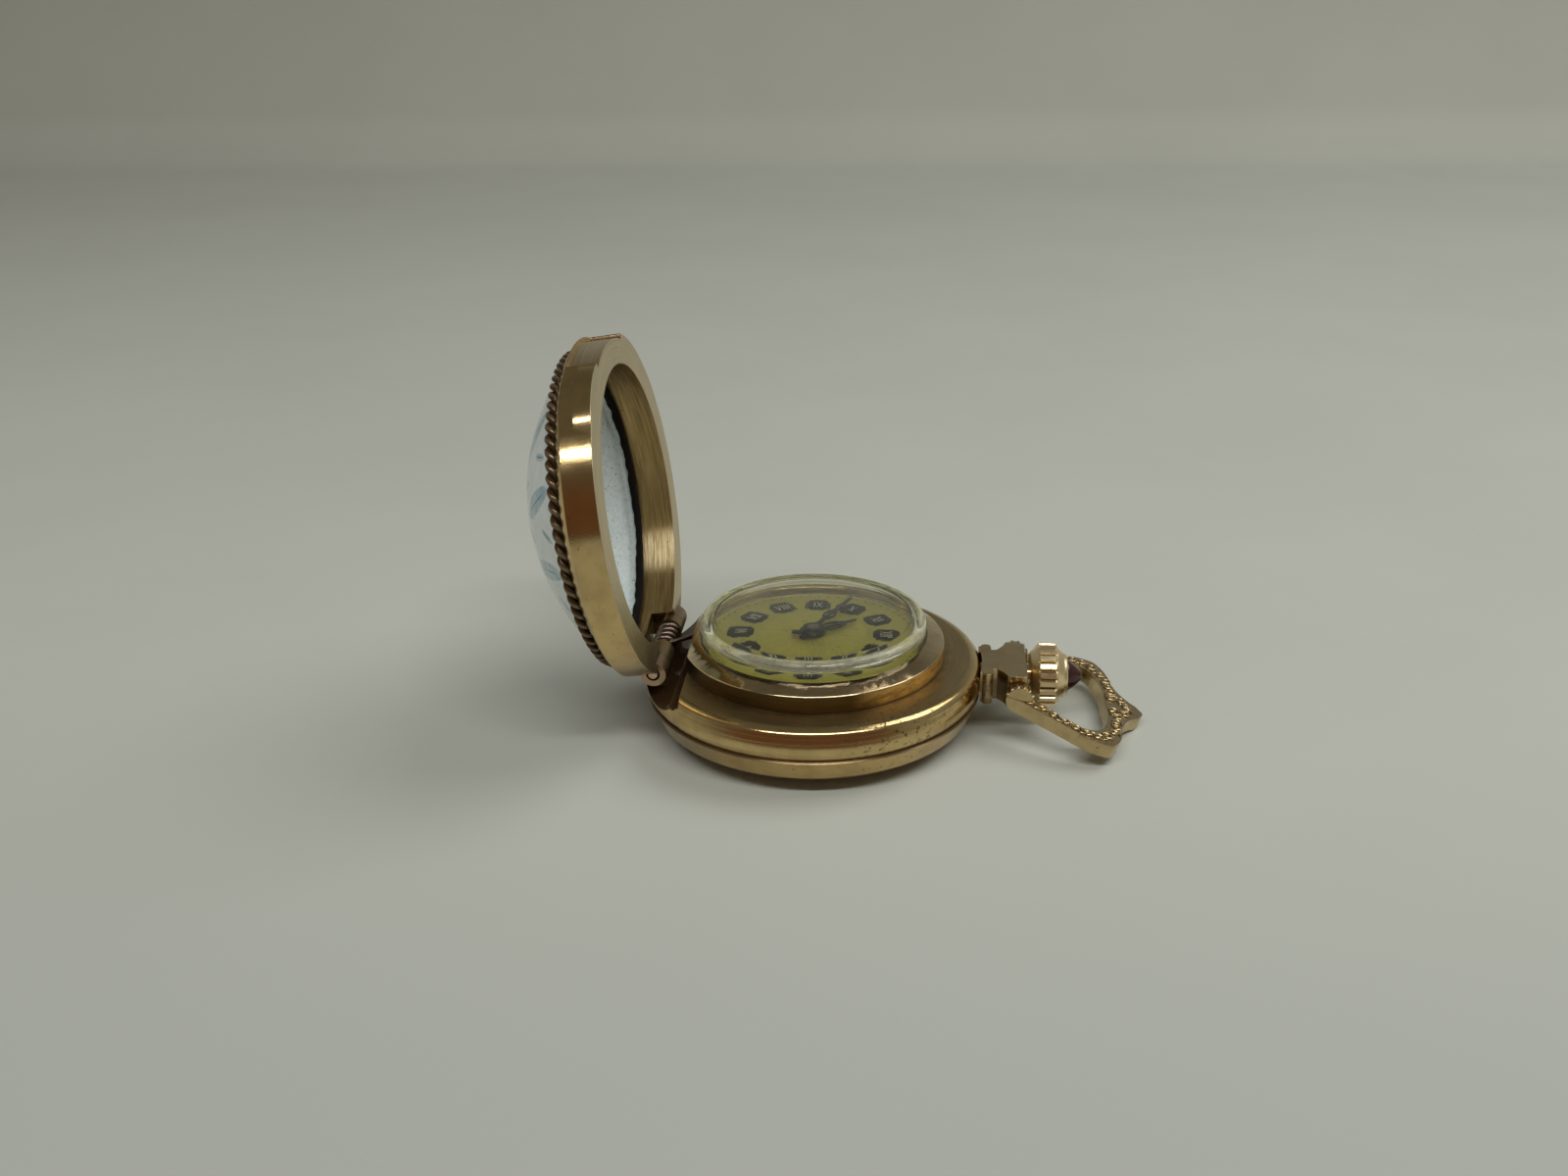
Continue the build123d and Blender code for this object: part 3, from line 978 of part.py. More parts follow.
def bridge_half(side, low, high):
    """Half of the bridge's disc, on one side of the split."""
    width = BRIDGE_R * 2
    shift = SPLIT_OFFSET + side * (SPLIT_HALF + width / 2)
    half = Rot(0, 0, SPLIT_DEG) * Pos(shift, 0, low) * Box(width, width * 2, high - low, align=LOW)
    return rod(BRIDGE_R, low, high) & half


def finish_bridge(body, places, jewels):
    """Cut the balance's space, the screw seats and the jewel seats of a bridge."""
    body -= rod(BALANCE_R + FREE * 2, 0, PLATE_LOW_Z, BALANCE)
    for place in places:
        body -= rod(SCREW_HEAD_R + SEAT, BRIDGE_LOW_Z - OVERRUN, BRIDGE_LOW_Z + SCREW_HEAD, place)
        body -= rod(SCREW_R + SEAT, BRIDGE_LOW_Z, BRIDGE_TOP_Z + OVERRUN, place)
    for place in jewels:
        body -= rod(JEWEL_R, BRIDGE_LOW_Z - OVERRUN, BRIDGE_LOW_Z + JEWEL_THICK, place)
        body -= rod(JEWEL_HOLE_R, BRIDGE_LOW_Z, BRIDGE_TOP_Z + OVERRUN, place)
    return body


def barrel_bridge():
    """Bridge over barrel, centre wheel and stem, with the groove for the crown wheel's face teeth."""
    body = bridge_half(1, BRIDGE_LOW_Z, BRIDGE_TOP_Z)
    body &= block((-CASE_R, CASE_R), (COCK_PILLAR[1] + COCK_TIP_R + FREE, CASE_R), (0, CASE_R))
    body = finish_bridge(body, pillar_places()[0], (CENTRE,))
    body -= rod(BARREL_ARBOR_R + RUN, BRIDGE_LOW_Z - OVERRUN, BRIDGE_TOP_Z + OVERRUN, BARREL)
    outer_r, inner_r = FACE_R + FACE_HALF + SLIP, FACE_R - FACE_HALF - SLIP
    body -= tube(outer_r, inner_r, 0, FACE_Z + FACE_TALL - SEAT, CROWN_WHEEL)
    return body - rod_x(WINDING_R + FACE_TALL + SLIP, CROWN_WHEEL_X + inner_r, CROWN_WHEEL_X + outer_r)


def train_bridge():
    """Bridge over third, fourth and escape wheels."""
    body = bridge_half(-1, BRIDGE_LOW_Z, BRIDGE_TOP_Z)
    body &= block((-CASE_R, BALANCE[0]), (-CASE_R, CASE_R), (0, CASE_R))
    return finish_bridge(body, pillar_places()[1], (THIRD, FOURTH, ESCAPE))


def balance_cock():
    """Arm from its pillar to the balance's upper jewel."""
    length = distance(COCK_PILLAR, BALANCE)
    plan = Circle(COCK_TIP_R) + Pos(length, 0) * Circle(COCK_TIP_R)
    plan += Pos(length / 2, 0) * Rectangle(length, COCK_HALF * 2)
    turn = Rot(0, 0, heading(BALANCE, COCK_PILLAR))
    body = Pos(BALANCE[0], BALANCE[1], COCK_LOW_Z) * turn * extrude(plan, COCK_TOP_Z - COCK_LOW_Z)
    body -= rod(SCREW_HEAD_R + SEAT, 0, COCK_LOW_Z + SCREW_HEAD, COCK_PILLAR)
    body -= rod(SCREW_R + SEAT, 0, COCK_TOP_Z + OVERRUN, COCK_PILLAR)
    body -= rod(JEWEL_R, 0, COCK_LOW_Z + JEWEL_THICK, BALANCE)
    return body - rod(JEWEL_HOLE_R, 0, COCK_TOP_Z + OVERRUN, BALANCE)


def pallet_bridge():
    """Small bridge over the pallet arbor."""
    length = distance(PALLET, PALLET_FOOT)
    plan = Circle(FOOT_R) + Pos(length, 0) * Circle(FOOT_R)
    plan += Pos(length / 2, 0) * Rectangle(length, FOOT_WEB * 2)
    turn = Rot(0, 0, heading(PALLET, PALLET_FOOT))
    height = PALLET_BRIDGE_TOP_Z - PALLET_BRIDGE_LOW_Z
    body = Pos(PALLET[0], PALLET[1], PALLET_BRIDGE_LOW_Z) * turn * extrude(plan, height)
    return body - rod(JEWEL_HOLE_R, 0, PLATE_LOW_Z, PALLET)


def slotted_screw(place, low):
    """Screw with its slotted head down, towards the case back."""
    body = rod(SCREW_HEAD_R, low, low + SCREW_HEAD, place)
    body += rod(SCREW_R - SEAT / 3, low, low + SCREW_LONG, place)
    x, y = place
    across = (y - SCREW_SLOT / 2, y + SCREW_SLOT / 2)
    return body - block((x - CASE_R, x + CASE_R), across, (0, low + SCREW_SLOT))


def bridge_screws():
    barrel, train = pillar_places()
    screws = [slotted_screw(place, BRIDGE_LOW_Z) for place in barrel + train]
    return Part() + screws + [slotted_screw(COCK_PILLAR, COCK_LOW_Z)]


def jewel(place, low):
    return tube(JEWEL_R - SEAT / 3, JEWEL_HOLE_R, low, low + JEWEL_THICK, place)


def bridge_jewels():
    """Jewels of the bridges and the cock."""
    stones = [jewel(place, BRIDGE_LOW_Z) for place in (CENTRE, THIRD, FOURTH, ESCAPE)]
    return Part() + stones + [jewel(BALANCE, COCK_LOW_Z)]


def plate_jewels():
    return Part() + [jewel(place, PLATE_LOW_Z) for place in (THIRD, FOURTH, ESCAPE, PALLET, BALANCE)]


# Escapement
LEVER_HALF = 0.1
LEVER_BOSS_R = 0.3
FORK_HALF = 0.26
PALLET_SPAN_DEG = 30      # a pallet stands this far round the escape wheel from the line of centres
PALLET_HALF = 0.09
PALLET_GAP = 0.02
ROLLER_R = 0.5
ROLLER_THICK = 0.12
IMPULSE_R = 0.07
IMPULSE_PLACE_R = 0.4
RIM_WIDE = 0.26
COLLET_R = 0.32
HAIRSPRING_GAP = 0.1      # cock to hairspring
HAIRSPRING_TALL = 0.14
BALANCE_GAP = 0.2         # hairspring to balance
BALANCE_THICK = 0.22
HAIRSPRING_TURN_COUNT = 5
HAIRSPRING_SIDE_COUNT = 12
HAIRSPRING_PITCH = 0.17
HAIRSPRING_WIDE = 0.04
HAIRSPRING_LOW_Z = COCK_TOP_Z + HAIRSPRING_GAP
HAIRSPRING_TOP_Z = HAIRSPRING_LOW_Z + HAIRSPRING_TALL
BALANCE_LOW_Z = HAIRSPRING_TOP_Z + BALANCE_GAP
BALANCE_TOP_Z = BALANCE_LOW_Z + BALANCE_THICK


def pallet_fork():
    """Lever with two pallets at the escape wheel and a forked end at the balance."""
    fork_x = LEVER_LONG - IMPULSE_PLACE_R
    plan = Circle(LEVER_BOSS_R) + Pos(fork_x / 2, 0) * Rectangle(fork_x, LEVER_HALF * 2)
    plan += Pos(fork_x, 0) * Rectangle(FORK_HALF * 2, FORK_HALF * 2)
    plan -= Pos(fork_x + FORK_HALF, 0) * Rectangle(FORK_HALF * 2, IMPULSE_R * 2 + PALLET_GAP * 2)
    centre_gap = ESCAPE_R * LOCK_SHARE
    for side in (-1, 1):
        tip = polar(ESCAPE_R + PALLET_GAP, side * PALLET_SPAN_DEG, (-centre_gap, 0))
        heel_x = tip[0] + PALLET_HALF * 2
        far_y = tip[1] + side * PALLET_HALF
        root = ((0, -ARBOR_R), (0, ARBOR_R), (heel_x, far_y + side * FORK_HALF))
        plan += make_face(Polyline(*root, (tip[0], far_y), tip, (heel_x, tip[1]), close=True))
    height = ESCAPE_TOP_Z - ESCAPE_LOW_Z
    body = Pos(PALLET[0], PALLET[1], ESCAPE_LOW_Z) * Rot(0, 0, LEVER_DEG) * extrude(plan, height)
    return body + rod(PIVOT_R, PALLET_BRIDGE_LOW_Z, PLATE_LOW_Z + JEWEL_THICK, PALLET)


def balance_wheel():
    """Balance with two arms, on its staff."""
    body = tube(BALANCE_R, BALANCE_R - RIM_WIDE, BALANCE_LOW_Z, BALANCE_TOP_Z)
    height = BALANCE_TOP_Z - BALANCE_LOW_Z
    body += Pos(0, 0, BALANCE_LOW_Z) * Box(BALANCE_R * 2 - RIM_WIDE, RIM_WIDE, height, align=LOW)
    body += rod(ARBOR_R, COCK_TOP_Z + SEAT, PLATE_LOW_Z - SEAT)
    body += rod(PIVOT_R, COCK_LOW_Z + SEAT, PLATE_LOW_Z + JEWEL_THICK)
    return Pos(*BALANCE) * Rot(0, 0, LEVER_DEG) * body


def roller_table():
    """Disc on the staff with the pin that enters the fork."""
    top = ESCAPE_LOW_Z - SEAT - SEAT
    body = tube(ROLLER_R, ARBOR_R + SEAT / 3, top - ROLLER_THICK, top)
    pin = rod(IMPULSE_R, top - ROLLER_THICK, ESCAPE_TOP_Z, (-IMPULSE_PLACE_R, 0))
    return Pos(*BALANCE) * Rot(0, 0, LEVER_DEG) * (body + pin)


def hairspring():
    """Flat spiral between the staff's collet and the cock."""
    inner, outer = [], []
    for step in range(HAIRSPRING_TURN_COUNT * HAIRSPRING_SIDE_COUNT + 1):
        turns = step / HAIRSPRING_SIDE_COUNT
        radius = COLLET_R + SEAT + turns * HAIRSPRING_PITCH
        inner.append(polar(radius, turns * 360))
        outer.append(polar(radius + HAIRSPRING_WIDE, turns * 360))
    outline = make_face(Polyline(*outer, *reversed(inner), close=True))
    ribbon = extrude(outline, HAIRSPRING_TALL)
    stud_r = COLLET_R + HAIRSPRING_TURN_COUNT * HAIRSPRING_PITCH
    stud = rod(PIVOT_R, COCK_TOP_Z, HAIRSPRING_TOP_Z, (stud_r + PIVOT_R / 2, 0))
    return Pos(*BALANCE) * (Pos(0, 0, HAIRSPRING_LOW_Z) * ribbon + stud)


# Motion work under the dial
def cannon_pinion():
    """Cannon pinion, whose pipe carries the minute hand and slips on the centre arbor."""
    body = toothed(CANNON_TEETH, MOTION_MODULE, MOTION_LOW_Z - SEAT, MOTION_TOP_Z, CENTRE, MINUTE)
    body += rod(CANNON_R, MOTION_LOW_Z - SEAT, MINUTE_HAND_Z + HAND_THICK + SEAT)
    return body - rod(CENTRE_PIVOT_R + SEAT / 2, MOTION_LOW_Z - OVERRUN, MINUTE_HAND_Z + HAND_THICK / 4)


def minute_wheel():
    body = toothed(MINUTE_TEETH, MOTION_MODULE, MOTION_LOW_Z, MOTION_TOP_Z, MINUTE, CENTRE, gap=True)
    body += toothed(MINUTE_PINION_TEETH, HOUR_MODULE, MOTION_TOP_Z, HOUR_WHEEL_TOP_Z, MINUTE, CENTRE)
    return body - rod(PIVOT_R * 2 + RUN, MOTION_LOW_Z - OVERRUN, HOUR_WHEEL_TOP_Z + OVERRUN, MINUTE)


def hour_wheel():
    """Hour wheel on the cannon pinion, whose pipe carries the hour hand."""
    body = toothed(HOUR_TEETH, HOUR_MODULE, HOUR_WHEEL_LOW_Z, HOUR_WHEEL_TOP_Z, CENTRE, MINUTE, gap=True)
    body += rod(HOUR_TUBE_R, HOUR_WHEEL_LOW_Z, HOUR_HAND_Z + HAND_THICK + SEAT)
    return body - rod(CANNON_R + RUN, HOUR_WHEEL_LOW_Z - OVERRUN, MINUTE_HAND_Z)


save(case_band(), "case_band")
save(back_cover(), "back_cover")
save(bezel_ring(), "bezel")
save(crystal_cap(), "crystal")
save(dial_disc(), "dial")
save(hour_plaques(), "hour_plaques")
save(casing_ring(), "casing_ring")
save(pendant_block(), "pendant")
save(pendant_sleeve(), "stem_sleeve")
save(lid_ring(), "lid_ring")
save(rope_border(), "lid_rope_border")
save(enamel_dome(), "lid_enamel")
save(cement_bead(), "lid_cement")
save(hinge_pin(), "hinge_pin")
save(lid_spring(), "lid_spring")
save(bow_loop(), "bow")
save(fluted_crown(), "crown")
save(crown_cabochon(), "crown_cabochon")
save(winding_stem(), "winding_stem")
save(pierced_hand(HOUR_HAND_LONG, HOUR_LEAF, HOUR_TUBE_R, HOUR_HAND_DEG, HOUR_HAND_Z), "hour_hand")
save(pierced_hand(MINUTE_HAND_LONG, MINUTE_LEAF, CANNON_R, MINUTE_HAND_DEG, MINUTE_HAND_Z), "minute_hand")
save(centre_wheel(), "centre_wheel")
save(third_wheel(), "third_wheel")
save(fourth_wheel(), "fourth_wheel")
save(escape_wheel(), "escape_wheel")
save(barrel_drum(), "barrel_drum")
save(barrel_cover(), "barrel_cover")
save(mainspring(), "mainspring")
save(barrel_arbor(), "barrel_arbor")
save(ratchet_wheel(), "ratchet_wheel")
save(crown_wheel(), "crown_wheel")
save(crown_wheel_cap(), "crown_wheel_cap")
save(winding_pinion(), "winding_pinion")
save(sliding_pinion(), "sliding_pinion")
save(main_plate(), "main_plate")
save(barrel_bridge(), "barrel_bridge")
save(train_bridge(), "train_bridge")
save(balance_cock(), "balance_cock")
save(pallet_bridge(), "pallet_bridge")
save(bridge_screws(), "bridge_screws")
save(bridge_jewels(), "bridge_jewels")
save(plate_jewels(), "plate_jewels")
save(pallet_fork(), "pallet_fork")
save(balance_wheel(), "balance_wheel")
save(roller_table(), "roller_table")
save(hairspring(), "hairspring")
save(cannon_pinion(), "cannon_pinion")
save(minute_wheel(), "minute_wheel")
save(hour_wheel(), "hour_wheel")
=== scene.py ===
import json
import math
from collections import namedtuple
from functools import reduce

import bmesh
import bpy
from mathutils import Matrix, Vector, noise


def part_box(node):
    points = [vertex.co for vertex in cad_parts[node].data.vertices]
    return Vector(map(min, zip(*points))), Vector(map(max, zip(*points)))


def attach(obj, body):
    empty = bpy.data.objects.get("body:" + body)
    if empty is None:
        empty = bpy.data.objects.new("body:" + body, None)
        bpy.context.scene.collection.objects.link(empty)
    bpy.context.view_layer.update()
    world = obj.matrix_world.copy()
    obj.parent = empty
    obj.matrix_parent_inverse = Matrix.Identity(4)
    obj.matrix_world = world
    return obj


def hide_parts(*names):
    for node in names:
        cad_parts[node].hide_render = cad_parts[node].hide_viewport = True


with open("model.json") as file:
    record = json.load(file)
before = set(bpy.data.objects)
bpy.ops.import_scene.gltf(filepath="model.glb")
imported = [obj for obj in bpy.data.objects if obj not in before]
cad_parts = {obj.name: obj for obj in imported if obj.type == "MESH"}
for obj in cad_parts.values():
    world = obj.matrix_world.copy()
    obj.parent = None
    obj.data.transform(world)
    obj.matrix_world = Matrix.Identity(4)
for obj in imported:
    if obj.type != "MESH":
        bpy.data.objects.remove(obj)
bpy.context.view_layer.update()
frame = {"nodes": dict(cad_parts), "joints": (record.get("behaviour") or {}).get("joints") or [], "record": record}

MM = 0.001
LOW, HIGH = 0, 1
X, Y, Z = 0, 1, 2


# Sizes of the watch in millimetres, in the frame's own axes
def joint_spot(name):
    """Centre of a joint."""
    row = next(row for row in frame["joints"] if row["name"] == name)
    return Vector([round(value / MM, 3) for value in row["pos_m"]])


def box_of(node):
    """Low and high corner of a node."""
    return [[round(value / MM, 2) for value in corner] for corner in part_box(node)]


HINGE = joint_spot("lid_hinge")
LID_OPEN = math.radians(98.18)
LID_TURN = Matrix.Translation(HINGE) @ Matrix.Rotation(-LID_OPEN, 4, "Y") @ Matrix.Translation(-HINGE)
BOW_PIVOT = joint_spot("bow_swing")
BOW_TILT = math.radians(17.29)
BOW_TURN = Matrix.Translation(BOW_PIVOT) @ Matrix.Rotation(BOW_TILT, 4, "Y")
STEM_Z = joint_spot("crown_turn").z


def lid_box_of(node):
    """Low and high corner of a piece of the lid, with the lid turned back to where it lies closed."""
    back = LID_TURN.inverted()
    spots = [back @ (vert.co / MM) for vert in frame["nodes"][node].data.vertices]
    return [[round(end(spot[axis] for spot in spots), 2) for axis in (X, Y, Z)] for end in (min, max)]


SEAM_HALF = 0.03
SEAM_Z = box_of("back_cover")[HIGH][Z] + SEAM_HALF
SHOULDER_Z = box_of("bezel")[LOW][Z]
BEZEL_SLOPE_TALL = 0.55
BEZEL_WALL_Z = round(box_of("bezel")[HIGH][Z] - BEZEL_SLOPE_TALL, 2)
BAND_ROUND_R = 13.05
BAND_LEAN_Z, BAND_LEAN = (4.35, 5.4), -0.21
BAND_FULL_Z, BAND_FULL = 5.35, 0.1
TROUGH_R = 2.27
TROUGH_END_X = -9.955

DIAL_Z = box_of("dial")[HIGH][Z]
PLAQUE_Z = box_of("hour_plaques")[HIGH][Z]
NUMERAL_R = 6.07
NUMERAL_TALL = 0.98
NUMERAL_GAP = 0.14
FIELD_HALF_WIDE = 1.12
FIELD_HALF_TALL = 0.78
HOUR = math.radians(30)
MINUTE_R = 8.2
MINUTE_DOT_R = 0.075

CRYSTAL_FLANGE_R = box_of("crystal")[HIGH][X]
CRYSTAL_FLANGE_Z = 7.7
CRYSTAL_R = 9.35
CRYSTAL_EDGE_Z = 9.42
CRYSTAL_TOP_Z = box_of("crystal")[HIGH][Z]
CRYSTAL_WALL = 0.75
CRYSTAL_BORE_R = CRYSTAL_R - CRYSTAL_WALL
CRYSTAL_DOME_R = 7.5
CRYSTAL_CEILING_R = 7.9

LID_R = lid_box_of("lid_ring")[HIGH][Y]
LID_BORE_R = 11.34
LID_LEDGE_Z = lid_box_of("lid_enamel")[LOW][Z]
ROPE_LOW, ROPE_HIGH = lid_box_of("lid_rope_border")
ROPE_Z = round((ROPE_LOW[Z] + ROPE_HIGH[Z]) / 2, 2)
ROPE_R = round(ROPE_HIGH[X] - (ROPE_HIGH[Z] - ROPE_LOW[Z]) / 2, 2)
ROPE_LAY_R = 0.26
ROPE_STRAND_R = 0.28
ROPE_TURNS = 38
ROPE_POINTS_A_TURN = 22
ENAMEL_R = lid_box_of("lid_enamel")[HIGH][Y]
ENAMEL_TOP_Z = lid_box_of("lid_enamel")[HIGH][Z]
ENAMEL_EDGE_Z = 10.15
ENAMEL_THICK = 0.5
ENAMEL_BALL_R = ((ENAMEL_TOP_Z - ENAMEL_EDGE_Z) ** 2 + ENAMEL_R ** 2) / (2 * (ENAMEL_TOP_Z - ENAMEL_EDGE_Z))
CEMENT_R = 11.1
PIN_HALF = box_of("hinge_pin")[HIGH][Y]
PIN_R = 0.43
PIN_SHADE_RING_R = 0.56

CROWN_LOW, CROWN_HIGH = box_of("crown")
CROWN_X = CROWN_LOW[X]
CROWN_R = round((CROWN_HIGH[Z] - CROWN_LOW[Z]) / 2, 2)
FLUTES = 22
FLUTE_DEEP = 0.24
FLUTE_START, FLUTE_END, FLUTE_FADE = 0.6, 2.1, 0.14
FLUTE_LAND, FLUTE_WALL = 0.6, 0.3
FLUTED_FROM_R = 2.2
STONE_R = 1.32
STONE_FOOT = 2.88
STEM_TURN = Matrix.Translation((CROWN_X, 0.0, STEM_Z)) @ Matrix.Rotation(math.radians(90), 4, "Y")

EAR_LEAF_R = 1.08
EAR_LEAVES = 7
EAR_LEAF_Y = (3.4, 3.7, 4.1, 4.4, 4.54)
EAR_LEAF_WIDE = (0.05, 0.12, 0.16, 0.17, 0.06)
# Scrolls on one arm of the bow: place along it, place across it, size
BOW_SCROLLS = (
    (0.9, 4.35, 0.42), (1.9, 4.75, 0.36), (2.8, 5.3, 0.4), (3.7, 5.9, 0.4), (4.6, 6.35, 0.42),
    (5.5, 6.7, 0.42), (6.4, 6.75, 0.46), (7.2, 6.2, 0.52), (7.9, 5.2, 0.46), (8.25, 4.2, 0.44),
    (8.35, 3.2, 0.46), (8.5, 2.2, 0.5), (8.3, 1.15, 0.46), (9.25, 1.25, 0.44), (9.6, 0.45, 0.4),
)

# Camera at the photograph's angle
CAMERA_AZIMUTH = math.radians(5.342)
CAMERA_ELEVATION = math.radians(23.121)
CAMERA_ROLL = math.radians(-0.891)
CAMERA_DISTANCE = 120.287
CAMERA_TARGET = Vector((-2.379, 0.0, 11.868))
CAMERA_LENS = 33.608
CAMERA_SENSOR = 36.0

# Colours
GOLD = (0.66, 0.48, 0.22)
GOLD_DARK = (0.20, 0.11, 0.045)
GOLD_ROSE = (0.78, 0.55, 0.31)
GOLD_PALE = (0.88, 0.71, 0.42)
BEZEL_GOLD = (0.64, 0.50, 0.29)
BEZEL_BRUSHED = (0.13, 0.085, 0.032)
BEZEL_GLINT = (0.78, 0.50, 0.17)
BACK_GOLD = (0.60, 0.43, 0.19)
BAND_BRUSHED = (0.42, 0.31, 0.145)
LID_BRUSHED = (0.72, 0.59, 0.36)
BORE_SHADE_LIGHT = (0.54, 0.37, 0.16)
BORE_SHADE_DARK = (0.29, 0.19, 0.075)
BORE_GLINT = (1.0, 0.82, 0.50)
KNUCKLE_ROSE = (0.40, 0.28, 0.17)
BOW_GOLD = (0.57, 0.44, 0.225)
PENDANT_GOLD = (0.54, 0.41, 0.22)
ROPE_GOLD = (0.62, 0.49, 0.30)
PIN_COPPER = (0.62, 0.42, 0.30)
DIAL_LIGHT = (0.76, 0.705, 0.165)
DIAL_DARK = (0.61, 0.565, 0.125)
DIAL_CHAPTER = (0.54, 0.505, 0.12)
DIAL_DASH = (0.90, 0.85, 0.40)
DIAL_STAIN = (0.22, 0.20, 0.08)
DIAL_INK = (0.02, 0.02, 0.012)
ENAMEL_WHITE = (0.80, 0.86, 0.84)
ENAMEL_SHADE = (0.72, 0.79, 0.78)
ENAMEL_INSIDE = (0.60, 0.70, 0.70)
ENAMEL_INSIDE_LIGHT = (0.78, 0.85, 0.83)
ENAMEL_SPECK = (0.05, 0.06, 0.08)
LEAF_BLUE = (0.22, 0.38, 0.47)
LEAF_PALE = (0.42, 0.57, 0.64)
LEAF_VEIN = (0.07, 0.09, 0.10)
GLASS_CLEAR = (0.97, 0.96, 0.84)
GLASS_WORN = (0.95, 0.93, 0.64)
TABLE_LIGHT = (0.565, 0.585, 0.52)
TABLE_DARK = (0.545, 0.565, 0.50)
TABLE_SHADED_NEAR = (0.47, 0.495, 0.445)
ROOM_LOW, ROOM_LOW_NEAR = (0.26, 0.265, 0.24), (0.125, 0.066, 0.04)
ROOM_HIGH, ROOM_HIGH_NEAR = (0.115, 0.11, 0.095), (0.10, 0.085, 0.065)
ROOM_CEILING = (0.12, 0.115, 0.1)

# Span that most of a noise pattern's values lie in
MIDDLE = (0.3, 0.7)


def make_camera():
    back = Vector((
        math.sin(CAMERA_AZIMUTH) * math.cos(CAMERA_ELEVATION),
        -math.cos(CAMERA_AZIMUTH) * math.cos(CAMERA_ELEVATION),
        math.sin(CAMERA_ELEVATION),
    ))
    data = bpy.data.cameras.new("camera")
    data.lens = CAMERA_LENS
    data.sensor_width = CAMERA_SENSOR
    data.clip_start = 0.001
    camera = bpy.data.objects.new("camera", data)
    bpy.context.scene.collection.objects.link(camera)
    turn = (-back).to_track_quat("-Z", "Y").to_matrix().to_4x4() @ Matrix.Rotation(CAMERA_ROLL, 4, "Z")
    camera.matrix_world = Matrix.Translation((CAMERA_TARGET + back * CAMERA_DISTANCE) * MM) @ turn
    bpy.context.scene.camera = camera


# Shader nodes
def put(tree, kind, inputs=None, **settings):
    """Add a node, set its properties, and fill its inputs with values or with other nodes' sockets."""
    made = tree.nodes.new(kind)
    for key, value in settings.items():
        setattr(made, key, value)
    for key, value in (inputs or {}).items():
        if isinstance(value, bpy.types.NodeSocket):
            tree.links.new(value, made.inputs[key])
        else:
            made.inputs[key].default_value = value
    return made


def calc(tree, operation, *values):
    """Math node's result."""
    return put(tree, "ShaderNodeMath", dict(enumerate(values)), operation=operation).outputs[0]


def times(tree, *values):
    """Product, taken in order."""
    return reduce(lambda first, second: calc(tree, "MULTIPLY", first, second), values)


def total(tree, *values):
    """Sum, taken in order."""
    return reduce(lambda first, second: calc(tree, "ADD", first, second), values)


def most(tree, *values):
    """Largest of some values."""
    return reduce(lambda first, second: calc(tree, "MAXIMUM", first, second), values)


def minus(tree, value, other):
    """Difference of two values."""
    return calc(tree, "SUBTRACT", value, other)


def length(tree, wide, tall):
    """Distance with two legs at a right angle."""
    return calc(tree, "SQRT", total(tree, calc(tree, "POWER", wide, 2.0), calc(tree, "POWER", tall, 2.0)))


def blend(tree, share, low, high):
    """Colour between two colours or colour sockets."""
    made = put(tree, "ShaderNodeMix", {0: share}, data_type="RGBA")
    for index, value in ((6, low), (7, high)):
        if isinstance(value, bpy.types.NodeSocket):
            tree.links.new(value, made.inputs[index])
        else:
            made.inputs[index].default_value = (*value, 1.0)
    return made.outputs[2]


def spread(tree, value, low, high, start=0.0, end=1.0):
    """A value from low to high, brought smoothly to start to end."""
    inputs = {"Value": value, "From Min": low, "From Max": high, "To Min": start, "To Max": end}
    return put(tree, "ShaderNodeMapRange", inputs, interpolation_type="SMOOTHSTEP").outputs[0]


def fading(tree, value, low, high, start=1.0):
    """Start up to low, and nothing from high on."""
    return spread(tree, value, low, high, start, 0.0)


def below(tree, value, edge, soft):
    """One below an edge, zero above it."""
    return fading(tree, value, edge - soft, edge + soft)


def between(tree, value, low, high, soft):
    """One inside a span, zero outside it."""
    return times(tree, spread(tree, value, low - soft, low + soft), below(tree, value, high, soft))


def grain(tree, vector, scale, detail=4.0, rough=0.6):
    """Noise between zero and one; a larger scale is finer."""
    inputs = {"Vector": vector, "Scale": scale, "Detail": detail, "Roughness": rough}
    return put(tree, "ShaderNodeTexNoise", inputs).outputs["Fac"]


def strokes(tree, along, across, deep, fine=1.0):
    """Fine noise drawn out along one direction, for brushing."""
    vector = put(tree, "ShaderNodeCombineXYZ", {0: along, 1: across, 2: deep}).outputs[0]
    return grain(tree, vector, fine, 3.0, 0.7)


def turned_back(tree, vector, home):
    """A position as it is before home moves and turns it."""
    spot, turn, _ = home.inverted().decompose()
    inputs = {"Vector": vector, "Location": spot, "Rotation": turn.to_euler()}
    return put(tree, "ShaderNodeMapping", inputs).outputs[0]


def place(tree, home=None):
    """Position in millimetres; home turns a piece of the open lid back to where it lies closed."""
    where = put(tree, "ShaderNodeTexCoord").outputs["Object"]
    scaled = put(tree, "ShaderNodeVectorMath", {0: where, "Scale": 1 / MM}, operation="SCALE").outputs[0]
    return scaled if home is None else turned_back(tree, scaled, home)


def parts(tree, vector):
    """X, Y and Z of a position."""
    return put(tree, "ShaderNodeSeparateXYZ", {0: vector}).outputs


Spot = namedtuple("Spot", "where x y z radius angle")


def survey(tree, home=None):
    """Position with its parts, its radius and its angle round Z."""
    where = place(tree, home)
    x, y, z = parts(tree, where)
    return Spot(where, x, y, z, length(tree, x, y), calc(tree, "ARCTAN2", y, x))


def start_material(name):
    """New material, its nodes, and its main shader."""
    made = bpy.data.materials.new(name)
    made.use_nodes = True
    tree = made.node_tree
    return made, tree, tree.nodes["Principled BSDF"]


